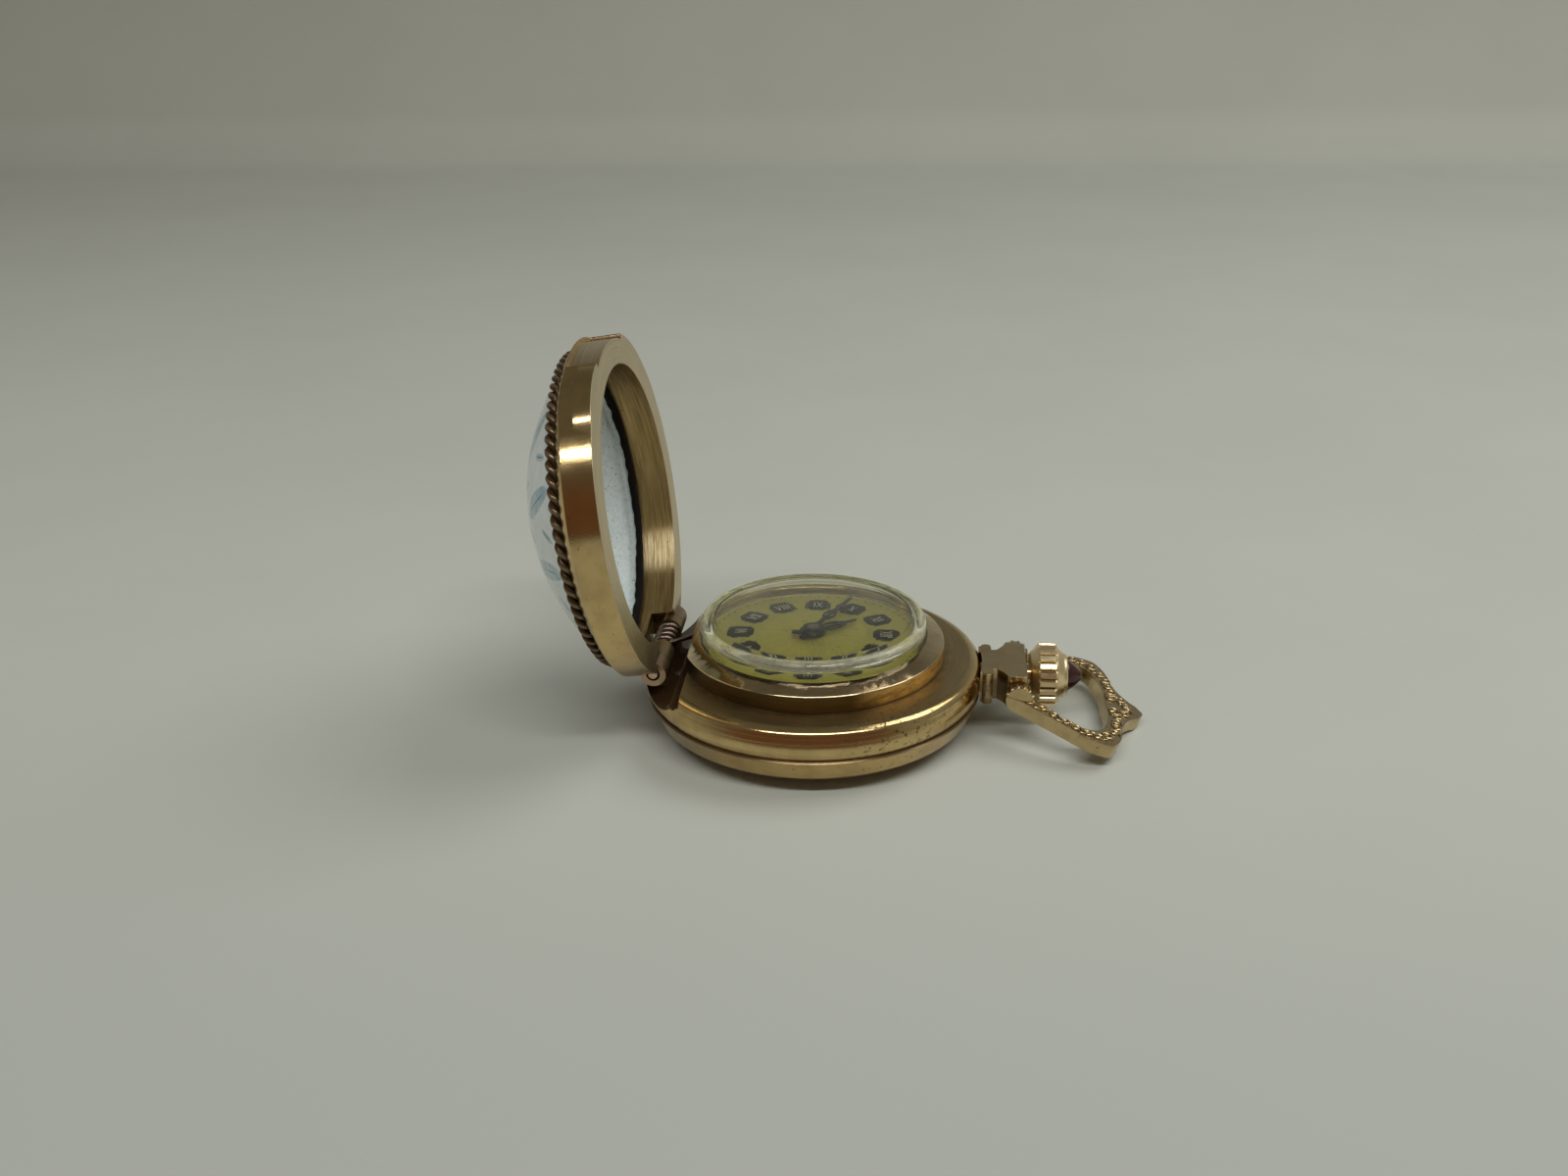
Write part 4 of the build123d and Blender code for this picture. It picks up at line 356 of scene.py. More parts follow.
def bump(tree, shader, height, depth, strength, under=None):
    """Relief of a surface; under is a broad height in millimetres that it lies on."""
    inputs = {"Strength": strength, "Distance": depth * MM, "Height": height}
    if under is not None:
        inputs["Normal"] = put(tree, "ShaderNodeBump", {"Distance": MM, "Height": under}).outputs[0]
    tree.links.new(put(tree, "ShaderNodeBump", inputs).outputs[0], shader.inputs["Normal"])


def shaded(colour, share):
    """A colour made darker."""
    return tuple(part * share for part in colour)


def metal(name, colour, rough, dark=GOLD_DARK, home=None, wear=0.3, brushed=None, satin=None, tint=None,
          grime_and_shade=None, swell=None):
    """Worn metal: tarnish in patches, specks and fine scratches. brushed gives the share that is satin,
    tint changes the tone (painted highlights included), grime_and_shade gives the share of dirt and painted
    shade, and swell a broad height under the relief."""
    made, tree, shader = start_material(name)
    at = survey(tree, home)
    patches = grain(tree, at.where, 0.45, 6.0)
    lift = grain(tree, at.where, 7.0, 3.0)
    tone = blend(tree, spread(tree, patches, 0.38, 0.72, 0.0, wear), colour, dark)
    sheen = spread(tree, patches, 0.3, 0.8, rough, rough * 1.7)
    if brushed is not None:
        share = brushed(tree, at)
        across, deep = times(tree, at.radius, 9.0), times(tree, at.z, 9.0)
        drawn = strokes(tree, times(tree, at.angle, 1.6), across, deep, 1.6)
        tone = blend(tree, share, tone, blend(tree, spread(tree, drawn, *MIDDLE), satin, shaded(satin, 0.72)))
        sheen = total(tree, sheen, times(tree, share, 0.22))
        lift = total(tree, lift, times(tree, share, times(tree, drawn, 3.0)))
    if tint is not None:
        tone = tint(tree, tone, at)
    shader.inputs["Metallic"].default_value = 1.0
    # Dirt and painted shade: darker, less metallic and less shiny
    if grime_and_shade is not None:
        dirt_and_shade = grime_and_shade(tree, at)
        tone = blend(tree, dirt_and_shade, tone, shaded(dark, 0.3))
        tree.links.new(spread(tree, dirt_and_shade, 0.2, 1.0, 1.0, 0.3), shader.inputs["Metallic"])
        tree.links.new(spread(tree, dirt_and_shade, 0.2, 1.0, 0.5, 0.08), shader.inputs["Specular IOR Level"])
    specks = spread(tree, grain(tree, at.where, 2.6, 2.0), 0.71, 0.75, 0.0, 0.8)
    tree.links.new(blend(tree, specks, tone, dark), shader.inputs["Base Color"])
    tree.links.new(sheen, shader.inputs["Roughness"])
    bump(tree, shader, lift, depth=0.012, strength=0.35, under=swell(tree, at) if swell else None)
    return made


def plain(name, colour, rough, shade=0.8, specular=0.5):
    """Smooth stuff with a slight clouding and a fine skin."""
    made, tree, shader = start_material(name)
    where = place(tree)
    cloud = spread(tree, grain(tree, where, 1.3), 0.3, 0.75)
    tree.links.new(blend(tree, cloud, colour, shaded(colour, shade)), shader.inputs["Base Color"])
    tree.links.new(spread(tree, cloud, 0.0, 1.0, rough, rough * 1.5), shader.inputs["Roughness"])
    shader.inputs["Metallic"].default_value = 0.0
    shader.inputs["Specular IOR Level"].default_value = specular
    bump(tree, shader, grain(tree, where, 5.0, 3.0), depth=0.008, strength=0.3)
    return made


def pitted(tree, at, x_span, y_span, size, span):
    """Pits in the stretch of a wall beside three o'clock that the two spans give."""
    field = times(tree, spread(tree, at.x, *x_span), fading(tree, at.y, *y_span))
    return times(tree, field, spread(tree, grain(tree, at.where, size, 3.0, 0.8), *span))


def band_satin(tree, at):
    """Shoulder of the band, inside its polished round."""
    flat = spread(tree, at.z, SHOULDER_Z - 0.06, SHOULDER_Z - 0.01)
    return times(tree, flat, below(tree, at.radius, BAND_ROUND_R, 0.15))


def band_swell(tree, at):
    """The band's wall leans in a little below its polished round, and the round is fuller at its top."""
    lean = spread(tree, at.z, *BAND_LEAN_Z, 0.0, BAND_LEAN)
    return total(tree, lean, spread(tree, at.z, BAND_FULL_Z, SHOULDER_Z - 0.03, 0.0, BAND_FULL))


def hinge_distance(tree, at):
    """Distance from the hinge's axis."""
    return length(tree, minus(tree, at.x, HINGE.x), minus(tree, at.z, HINGE.z))


def band_dirt_and_shade(tree, at):
    """Pits in the wall, dirt at the seam, and dirt with painted shade in the hinge's trough and round the bezel's
    foot.
    """
    spots = pitted(tree, at, (2.0, 7.0), (-12.5, -6.0), 2.1, (0.555, 0.61))
    seam = times(tree, between(tree, at.z, SEAM_Z - 0.05, SEAM_Z + 0.07, 0.05), 0.75)
    # Dirt and painted shade in the hinge's trough, the recess under the lid's knuckles
    away = hinge_distance(tree, at)
    cove = times(tree, below(tree, away, TROUGH_R, 0.03), spread(tree, away, 1.3, 1.7, 0.35, 1.0))
    sunk = times(tree, below(tree, at.z, SHOULDER_Z - 0.025, 0.015), below(tree, at.radius, 13.9, 0.05))
    trough = most(tree, cove, times(tree, sunk, below(tree, at.x, TROUGH_END_X, 0.015)))
    # Dirt and painted shade in the corner round the bezel's foot
    cloud = spread(tree, grain(tree, at.where, 1.1), *MIDDLE)
    foot = times(tree, fading(tree, at.radius, 10.8, 11.9, 0.55), cloud)
    return most(tree, spots, trough, seam, foot)


def back_dirt_and_shade(tree, at):
    """Dirt along the seam under the band and pits, with painted shade low down by the table and towards the hinge.
    """
    seam = spread(tree, at.z, SEAM_Z - 0.28, SEAM_Z - 0.06, 0.0, 0.9)
    # Painted shade: darker low down near the table, and on the side towards the hinge
    foot = most(tree, fading(tree, at.z, 0.3, 1.5, 0.6), fading(tree, at.x, -10.0, -3.0, 0.4))
    return most(tree, seam, foot, pitted(tree, at, (1.0, 6.0), (-12.5, -7.0), 2.3, (0.6, 0.66)))


def bezel_wall(tree, at):
    """Upright wall of the bezel, which is brushed."""
    return fading(tree, at.z, BEZEL_WALL_Z - 0.06, BEZEL_WALL_Z)


def bezel_joints_and_shade(tree, at):
    """A few dark joints across the polished slope, and dirt with painted shade in the corner at the wall's foot.
    """
    turn = put(tree, "ShaderNodeCombineXYZ", {0: at.angle}).outputs[0]
    lines = spread(tree, grain(tree, turn, 2.7, 1.0), 0.655, 0.66)
    slope = times(tree, lines, spread(tree, at.z, BEZEL_WALL_Z, BEZEL_WALL_Z + 0.05, 0.0, 0.5))
    # Dirt and painted shade at the foot of the wall
    return most(tree, slope, fading(tree, at.z, SHOULDER_Z, SHOULDER_Z + 0.35, 0.8))


def bezel_glint(tree, tone, at):
    """Painted highlight: the brushed wall is painted bright beside three o'clock."""
    glint = times(tree, spread(tree, at.angle, -1.25, -0.95), fading(tree, at.angle, -0.25, 0.1))
    drawn = strokes(tree, times(tree, at.angle, 6.0), 0.0, times(tree, at.z, 2.0))
    share = times(tree, bezel_wall(tree, at), glint, spread(tree, drawn, 0.3, 0.6, 0.3, 1.0))
    return blend(tree, share, tone, BEZEL_GLINT)


def lid_bore(tree, at):
    """Inside wall of the lid's ring."""
    return fading(tree, at.radius, LID_BORE_R + 0.02, LID_BORE_R + 0.06)


def lid_glint_streak(tree, at):
    """Stretch of the bore, on both sides, that carries a painted highlight."""
    return between(tree, calc(tree, "ABSOLUTE", at.angle), 2.14, 2.42, 0.08)


def lid_satin(tree, at):
    """Face, bore and pendant recess of the lid's ring; its outside wall stays polished."""
    face = fading(tree, at.z, SHOULDER_Z + 0.05, SHOULDER_Z + 0.1)
    bore = lid_bore(tree, at)
    recess = times(tree, spread(tree, at.x, 12.6, 12.9), fading(tree, at.radius, LID_R - 0.12, LID_R - 0.06))
    # The bore is rougher and more satin along its painted highlight
    return total(tree, most(tree, face, bore, recess), times(tree, bore, lid_glint_streak(tree, at)))


def lid_tint(tree, tone, at):
    """Bore with a painted reflection: dark brown for the dim room it mirrors, with turned strokes round it, and a
    painted highlight of bright strokes along its streak; rosy knuckles.
    """
    drawn = strokes(tree, times(tree, at.angle, 2.2), 0.0, times(tree, at.z, 7.0))
    # Painted reflection: the bore is painted dark brown for the dim room it mirrors, in turned strokes
    brown = blend(tree, spread(tree, drawn, 0.35, 0.65), BORE_SHADE_LIGHT, BORE_SHADE_DARK)
    # Painted highlight: bright strokes along the bore's streak
    glint = times(tree, lid_glint_streak(tree, at), spread(tree, drawn, 0.42, 0.52))
    tone = blend(tree, lid_bore(tree, at), tone, blend(tree, glint, brown, BORE_GLINT))
    return blend(tree, fading(tree, hinge_distance(tree, at), 1.1, 1.35), tone, KNUCKLE_ROSE)


def lid_dirt_and_shade(tree, at):
    """Dirt with painted shade under the rope, and painted shade, brown, in the notch at the hinge."""
    rim = times(tree, between(tree, at.radius, 11.5, 13.05, 0.04), spread(tree, at.z, 8.6, 8.85))
    notch = times(tree, fading(tree, at.x, -11.6, -11.0, 0.45), fading(tree, at.radius, 13.5, 13.7))
    return most(tree, rim, notch)


def rope_dirt_and_shade(tree, at):
    """Dirt all over the rope, with painted shade deepest in the lay between its strands and least on their tops.
    """
    out = length(tree, minus(tree, at.radius, ROPE_R), minus(tree, at.z, ROPE_Z))
    return spread(tree, out, 0.46, 0.56, 0.98, 0.6)


def patchy(tree, at, scale):
    """Share that the darkening has from place to place."""
    return spread(tree, grain(tree, at.where, scale), 0.3, 0.6, 0.5, 1.0)


def bow_dark_ground(tree, at):
    """Dark ground between the scrolls on the bow's top."""
    _, _, up = parts(tree, turned_back(tree, at.where, BOW_TURN))
    top = spread(tree, up, -0.04, 0.03)
    return times(tree, top, fading(tree, up, 0.06, 0.16, 0.62), patchy(tree, at, 1.5))


def crown_flute_dirt_and_shade(tree, at):
    """Dirt and painted shade in the flutes."""
    out = length(tree, at.y, minus(tree, at.z, STEM_Z))
    band = between(tree, at.x, CROWN_X + 0.72, CROWN_X + 1.95, 0.05)
    return times(tree, band, fading(tree, out, CROWN_R - 0.22, CROWN_R - 0.1, 0.9))


def pendant_side_shade(tree, at):
    """Painted shade on the pendant's sides below its flat top, patchy."""
    return times(tree, fading(tree, at.z, 4.6, 5.9, 0.75), patchy(tree, at, 1.1))


def dial_material():
    """Olive champagne dial: fine sunray, darker chapter, light dashes round the middle, age stains, and a
    black printed field round each hour plaque."""
    made, tree, shader = start_material("dial_sunray")
    at = survey(tree)
    ray = strokes(tree, times(tree, at.angle, 22.0), 0.0, 0.0)
    tone = blend(tree, spread(tree, ray, *MIDDLE), DIAL_LIGHT, DIAL_DARK)
    tone = blend(tree, spread(tree, at.radius, 4.35, 4.55, 0.0, 0.4), tone, DIAL_CHAPTER)
    dash = strokes(tree, times(tree, at.angle, 9.0), times(tree, at.radius, 0.9), 0.0)
    dashes = times(tree, spread(tree, dash, 0.62, 0.66), between(tree, at.radius, 1.4, 3.9, 0.2))
    tone = blend(tree, times(tree, dashes, 0.8), tone, DIAL_DASH)
    stains = spread(tree, grain(tree, at.where, 0.9, 5.0), 0.58, 0.72, 0.0, 0.5)
    tone = blend(tree, stains, tone, DIAL_STAIN)
    side = times(tree, calc(tree, "WRAP", at.angle, HOUR / 2, -HOUR / 2), at.radius)
    wide = calc(tree, "POWER", calc(tree, "DIVIDE", side, FIELD_HALF_WIDE), 10.0)
    rise = minus(tree, at.radius, NUMERAL_R)
    tall = calc(tree, "POWER", calc(tree, "DIVIDE", rise, FIELD_HALF_TALL), 10.0)
    field = below(tree, total(tree, wide, tall), 1.0, 0.15)
    tree.links.new(blend(tree, field, tone, DIAL_INK), shader.inputs["Base Color"])
    tree.links.new(fading(tree, field, 0.0, 1.0, 0.55), shader.inputs["Metallic"])
    shader.inputs["Roughness"].default_value = 0.36
    bump(tree, shader, total(tree, ray, times(tree, dashes, 2.0)), depth=0.01, strength=0.5)
    return made


# Rings of leaves on the enamel: middle radius, half length, half width, slant, turn in sectors, depth
LEAF_SECTOR = 2 * math.pi / 11
LEAF_RINGS = (
    (9.3, 2.3, 0.85, 0.28, 0.0, 0.85),
    (6.4, 1.6, 0.5, -0.35, 0.5, 0.6),
    (10.6, 0.7, 0.35, -0.6, 0.45, 0.7),
)


def enamel_material():
    """White glossy enamel with pale blue leaves outside, blue-white and speckled inside the lid."""
    made, tree, shader = start_material("enamel_leaves")
    at = survey(tree, LID_TURN)
    cloud = grain(tree, at.where, 1.1, 5.0)
    tone = blend(tree, spread(tree, cloud, *MIDDLE), ENAMEL_WHITE, ENAMEL_SHADE)
    for middle, half_long, half_wide, slant, shift, deep in LEAF_RINGS:
        turned = total(tree, at.angle, LEAF_SECTOR * shift)
        local = calc(tree, "WRAP", turned, LEAF_SECTOR / 2, -LEAF_SECTOR / 2)
        along = minus(tree, at.radius, middle)
        side = minus(tree, times(tree, local, at.radius), times(tree, along, slant))
        long = calc(tree, "POWER", calc(tree, "DIVIDE", along, half_long), 2.0)
        wide = calc(tree, "POWER", calc(tree, "DIVIDE", side, half_wide), 2.0)
        leaf = fading(tree, total(tree, long, wide, times(tree, cloud, 0.35)), 0.95, 1.25, deep)
        tone = blend(tree, leaf, tone, blend(tree, spread(tree, cloud, 0.35, 0.65), LEAF_BLUE, LEAF_PALE))
        vein = times(
            tree, fading(tree, calc(tree, "ABSOLUTE", side), 0.03, 0.09, 0.85),
            fading(tree, calc(tree, "ABSOLUTE", along), half_long * 0.35, half_long * 0.75),
        )
        tone = blend(tree, vein, tone, LEAF_VEIN)
    centre = (0.0, 0.0, ENAMEL_TOP_Z - ENAMEL_BALL_R)
    away = put(tree, "ShaderNodeVectorMath", {0: at.where, 1: centre}, operation="DISTANCE").outputs["Value"]
    inside = most(
        tree, fading(tree, away, ENAMEL_BALL_R - 0.3, ENAMEL_BALL_R - 0.2),
        fading(tree, at.z, ENAMEL_EDGE_Z - 0.35, ENAMEL_EDGE_Z - 0.25),
    )
    mottle = grain(tree, at.where, 2.8, 6.0, 0.75)
    blue = blend(tree, spread(tree, mottle, 0.35, 0.65), ENAMEL_INSIDE, ENAMEL_INSIDE_LIGHT)
    specks = spread(tree, grain(tree, at.where, 4.2, 1.0), 0.70, 0.73)
    blue = blend(tree, times(tree, specks, 0.8), blue, ENAMEL_SPECK)
    tree.links.new(blend(tree, inside, tone, blue), shader.inputs["Base Color"])
    tree.links.new(spread(tree, inside, 0.0, 1.0, 0.08, 0.35), shader.inputs["Roughness"])
    bump(tree, shader, mottle, depth=0.02, strength=0.15)
    return made


def glass(name, colour, rough, index, milky=None):
    """Clear stuff with faint scratches and smears; milky gives the share that is clouded by wear."""
    made, tree, shader = start_material(name)
    where = place(tree)
    smear = grain(tree, where, 1.2, 4.0)
    tree.links.new(spread(tree, smear, 0.35, 0.75, rough, rough * 4), shader.inputs["Roughness"])
    shader.inputs["Base Color"].default_value = (*colour, 1.0)
    shader.inputs["Transmission Weight"].default_value = 1.0
    if milky is not None:
        share = milky(tree)
        tree.links.new(minus(tree, 1.0, share), shader.inputs["Transmission Weight"])
        tone = blend(tree, spread(tree, share, 0.0, 0.2), colour, GLASS_WORN)
        tree.links.new(tone, shader.inputs["Base Color"])
    shader.inputs["IOR"].default_value = index
    bump(tree, shader, grain(tree, where, 4.0, 2.0), depth=0.003, strength=0.2)
    return made


def crystal_haze(tree):
    """Clouding round the crystal's shoulder, where it is handled."""
    at = survey(tree)
    shoulder = times(tree, spread(tree, at.radius, 8.6, 8.95), spread(tree, at.z, 8.95, 9.25))
    return times(tree, shoulder, spread(tree, grain(tree, at.where, 1.0), *MIDDLE, 0.26, 0.4))


# Floor and light, in metres
FLOOR_HALF_WIDE = 8.0
FLOOR_SWEEP = ((-6.0, 0.0), (0.36, 0.0), (0.375, 0.004), (0.382, 0.016), (0.384, 0.05), (0.384, 0.11))


def make_floor():
    """Pale matt table that turns up into a backdrop far behind."""
    made, tree, shader = start_material("floor")
    where = place(tree)
    cloud = spread(tree, grain(tree, where, 0.02), *MIDDLE)
    tone = blend(tree, cloud, TABLE_DARK, TABLE_LIGHT)
    # Painted shade: the table is darker in front of the watch, towards the camera
    near = fading(tree, parts(tree, where)[Y], -60.0, 10.0)
    tree.links.new(blend(tree, near, tone, TABLE_SHADED_NEAR), shader.inputs["Base Color"])
    shader.inputs["Roughness"].default_value = 0.85
    bm = bmesh.new()
    rows = [[bm.verts.new((x, y, z)) for x in (-FLOOR_HALF_WIDE, FLOOR_HALF_WIDE)] for y, z in FLOOR_SWEEP]
    for low, high in zip(rows, rows[1:]):
        bm.faces.new((low[0], low[1], high[1], high[0]))
    for face in bm.faces:
        face.smooth = True
    mesh = bpy.data.meshes.new("floor")
    bm.to_mesh(mesh)
    bm.free()
    floor = bpy.data.objects.new("floor", mesh)
    floor.data.materials.append(made)
    bpy.context.scene.collection.objects.link(floor)


def lamp(name, size, spot, aim, power):
    """White lamp of two sides, standing at a spot and turned to an aim."""
    data = bpy.data.lights.new(name, "AREA")
    data.shape = "RECTANGLE"
    data.size, data.size_y = size
    data.energy = power
    data.color = (1.0, 1.0, 1.0)
    made = bpy.data.objects.new(name, data)
    bpy.context.scene.collection.objects.link(made)
    made.location = spot
    made.rotation_euler = (Vector(aim) - Vector(spot)).to_track_quat("-Z", "Y").to_euler()


def make_light():
    """Room with a long window lamp above the camera, a soft lamp at the right, and brown gloom behind the
    camera."""
    world = bpy.data.worlds.new("world")
    bpy.context.scene.world = world
    world.use_nodes = True
    tree = world.node_tree
    sky = tree.nodes["Background"]
    _, y, height = parts(tree, put(tree, "ShaderNodeTexCoord").outputs["Generated"])
    near = fading(tree, y, -0.75, -0.2)
    low = blend(tree, near, ROOM_LOW, ROOM_LOW_NEAR)
    high = blend(tree, near, ROOM_HIGH, ROOM_HIGH_NEAR)
    tone = blend(tree, spread(tree, height, 0.35, 0.65), low, high)
    tree.links.new(blend(tree, spread(tree, height, 0.75, 1.0), tone, ROOM_CEILING), sky.inputs["Color"])
    sky.inputs["Strength"].default_value = 1.0
    lamp("window", (0.55, 0.045), (0.03, -0.30, 0.46), (0.0, 0.0, 0.01), 1.45)
    lamp("side", (0.36, 0.36), (0.34, 0.10, 0.46), (0.0, 0.0, 0.0), 1.15)


# Meshes, in millimetres until they are finished
MERGE = 0.0005


def add_piece(name, body, material, bm, nodes=(), turn=None, sharp=40):
    """Finish a mesh as one piece that rides on a body and stands for the nodes it replaces."""
    if turn is not None:
        bmesh.ops.transform(bm, matrix=turn, verts=bm.verts)
    bmesh.ops.remove_doubles(bm, verts=bm.verts, dist=MERGE)
    bmesh.ops.recalc_face_normals(bm, faces=bm.faces)
    bmesh.ops.scale(bm, vec=(MM, MM, MM), verts=bm.verts)
    for face in bm.faces:
        face.smooth = True
    for edge in bm.edges:
        edge.smooth = edge.calc_face_angle(0.0) < math.radians(sharp)
    mesh = bpy.data.meshes.new(name)
    bm.to_mesh(mesh)
    bm.free()
    piece = bpy.data.objects.new(name, mesh)
    bpy.context.scene.collection.objects.link(piece)
    # Even shading of flat faces beside small rounds
    even = piece.modifiers.new("even", "WEIGHTED_NORMAL")
    even.keep_sharp = True
    mesh = bpy.data.meshes.new_from_object(piece.evaluated_get(bpy.context.evaluated_depsgraph_get()))
    piece.modifiers.clear()
    piece.data = mesh
    piece.data.materials.clear()
    piece.data.materials.append(material)
    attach(piece, body)
    if nodes:
        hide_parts(*nodes)


def rounded(points, steps=4):
    """Profile whose corners are rounded by each point's third number."""
    made = []
    count = len(points)
    for index, (radius, height, cut) in enumerate(points):
        here = Vector((radius, height))
        if cut == 0:
            made.append(tuple(here))
            continue
        before = Vector(points[index - 1][:2]) - here
        after = Vector(points[(index + 1) % count][:2]) - here
        start, end = here + before.normalized() * cut, here + after.normalized() * cut
        for step in range(steps + 1):
            share = step / steps
            made.append(tuple(start * (1 - share) ** 2 + here * 2 * share * (1 - share) + end * share ** 2))
    return made


def lathe(profile, segments=144, closed=True, shape=None):
    """Profile of (radius, height) turned round Z; shape(angle, radius, height) may change the radius."""
    bm = bmesh.new()
    rows = []
    for radius, height in profile:
        row = []
        for step in range(segments if radius > 0 else 1):
            angle = 2 * math.pi * step / segments
            out = shape(angle, radius, height) if shape else radius
            row.append(bm.verts.new((out * math.cos(angle), out * math.sin(angle), height)))
        rows.append(row)
    for low, high in zip(rows, rows[1:] + (rows[:1] if closed else [])):
        for step in range(segments):
            after = (step + 1) % segments
            lower = (low[step % len(low)], low[after % len(low)])
            upper = (high[after % len(high)], high[step % len(high)])
            corners = list(dict.fromkeys(lower + upper))
            if len(corners) > 2:
                bm.faces.new(corners)
    return bm


def cap(radius, edge_z, top_z, steps=14):
    """Profile of a dome from its edge to its crown."""
    rise = top_z - edge_z
    ball_r = (radius ** 2 + rise ** 2) / (2 * rise)
    points = []
    for step in range(steps + 1):
        out = radius * math.cos(math.pi / 2 * step / steps)
        points.append((out if step < steps else 0.0, top_z - ball_r + math.sqrt(ball_r ** 2 - out ** 2)))
    return points


def tube(bm, points, widths, sides=6):
    """Closed tube along points, with a radius at each."""
    rows = []
    for index, point in enumerate(points):
        ahead = points[min(index + 1, len(points) - 1)] - points[max(index - 1, 0)]
        side = ahead.cross(Vector((0, 0, 1))).normalized()
        up = side.cross(ahead).normalized()
        row = []
        for step in range(sides):
            angle = 2 * math.pi * step / sides
            row.append(bm.verts.new(point + (side * math.cos(angle) + up * math.sin(angle)) * widths[index]))
        rows.append(row)
    for low, high in zip(rows, rows[1:]):
        for step in range(sides):
            after = (step + 1) % sides
            bm.faces.new((low[step], low[after], high[after], high[step]))
    bm.faces.new(rows[0][::-1])
    bm.faces.new(rows[-1])


def soft_copy(node, width):
    """A node's solid with its sharp edges rounded."""
    bm = bmesh.new()
    bm.from_mesh(frame["nodes"][node].data)
    bmesh.ops.scale(bm, vec=(1 / MM, 1 / MM, 1 / MM), verts=bm.verts)
    bmesh.ops.remove_doubles(bm, verts=bm.verts, dist=MERGE)
    bmesh.ops.dissolve_limit(bm, angle_limit=math.radians(0.5), verts=bm.verts, edges=bm.edges)
    edges = [edge for edge in bm.edges if edge.is_manifold and edge.calc_face_angle(0.0) > math.radians(32)]
    bmesh.ops.bevel(bm, geom=edges, offset=width, segments=3, profile=0.5, affect="EDGES", clamp_overlap=True)
    return bm


# Geometry Nodes
def start_tree(name, inputs):
    """Tree with named inputs, each a label, a kind of socket and a first value."""
    tree = bpy.data.node_groups.new(name, "GeometryNodeTree")
    tree.interface.new_socket("Geometry", in_out="OUTPUT", socket_type="NodeSocketGeometry")
    for label, kind, value in (*inputs, ("Material", "NodeSocketMaterial", None)):
        made = tree.interface.new_socket(label, in_out="INPUT", socket_type=kind)
        if value is not None:
            made.default_value = value
    return tree, tree.nodes.new("NodeGroupInput").outputs


def end_tree(tree, given, geometry):
    """Make a tree's result real and give it its material."""
    real = put(tree, "GeometryNodeRealizeInstances", {"Geometry": geometry})
    done = put(tree, "GeometryNodeSetMaterial", {"Geometry": real.outputs[0], "Material": given["Material"]})
    tree.links.new(done.outputs[0], tree.nodes.new("NodeGroupOutput").inputs[0])
    return tree


def rope_tree():
    """Two strands laid round a ring: each strand is a coil whose turns follow the ring."""
    tree, given = start_tree("laid_rope", (
        ("Ring Radius", "NodeSocketFloat", 1.0), ("Lay Radius", "NodeSocketFloat", 0.1),
        ("Strand Radius", "NodeSocketFloat", 0.1), ("Turns", "NodeSocketInt", 10),
        ("Points", "NodeSocketInt", 100),
    ))
    index = put(tree, "GeometryNodeInputIndex").outputs[0]
    turn = times(tree, calc(tree, "DIVIDE", index, given["Points"]), 2 * math.pi)
    lay = times(tree, turn, given["Turns"])
    join = put(tree, "GeometryNodeJoinGeometry")
    for phase in (0.0, math.pi):
        swing = total(tree, lay, phase)
        out = total(tree, given["Ring Radius"], times(tree, given["Lay Radius"], calc(tree, "COSINE", swing)))
        spot = put(tree, "ShaderNodeCombineXYZ", {
            X: times(tree, out, calc(tree, "COSINE", turn)),
            Y: times(tree, out, calc(tree, "SINE", turn)),
            Z: times(tree, given["Lay Radius"], calc(tree, "SINE", swing)),
        }).outputs[0]
        ring = put(tree, "GeometryNodeCurvePrimitiveCircle", {"Resolution": given["Points"], "Radius": 1.0})
        moved = put(tree, "GeometryNodeSetPosition", {"Geometry": ring.outputs[0], "Position": spot})
        size = {"Resolution": 8, "Radius": given["Strand Radius"]}
        wire = put(tree, "GeometryNodeCurvePrimitiveCircle", size).outputs[0]
        body = put(tree, "GeometryNodeCurveToMesh", {"Curve": moved.outputs[0], "Profile Curve": wire})
        tree.links.new(body.outputs[0], join.inputs[0])
    return end_tree(tree, given, join.outputs[0])


def dot_tree():
    """Small domes set evenly round a circle."""
    tree, given = start_tree("ring_of_dots", (
        ("Ring Radius", "NodeSocketFloat", 1.0), ("Dot Radius", "NodeSocketFloat", 0.1),
        ("Count", "NodeSocketInt", 12),
    ))
    ring = put(tree, "GeometryNodeMeshCircle", {"Vertices": given["Count"], "Radius": given["Ring Radius"]})
    dot = put(tree, "GeometryNodeMeshIcoSphere", {"Radius": given["Dot Radius"], "Subdivisions": 2})
    low = put(tree, "GeometryNodeTransform", {"Geometry": dot.outputs[0], "Scale": (1.0, 1.0, 0.3)})
    sown = put(tree, "GeometryNodeInstanceOnPoints", {"Points": ring.outputs[0], "Instance": low.outputs[0]})
    return end_tree(tree, given, sown.outputs[0])


def grow(tree, values, lift):
    """Run a Geometry Nodes tree and give its result, lifted along Z."""
    holder = bpy.data.objects.new("grow", bpy.data.meshes.new("grow"))
    bpy.context.scene.collection.objects.link(holder)
    modifier = holder.modifiers.new("grow", "NODES")
    modifier.node_group = tree
    for item in tree.interface.items_tree:
        if item.in_out == "INPUT":
            modifier[item.identifier] = values[item.name]
    mesh = bpy.data.meshes.new_from_object(holder.evaluated_get(bpy.context.evaluated_depsgraph_get()))
    bm = bmesh.new()
    bm.from_mesh(mesh)
    holder.modifiers.clear()
    bpy.data.objects.remove(holder)
    bpy.data.meshes.remove(mesh)
    bmesh.ops.translate(bm, vec=(0, 0, lift), verts=bm.verts)
    return bm


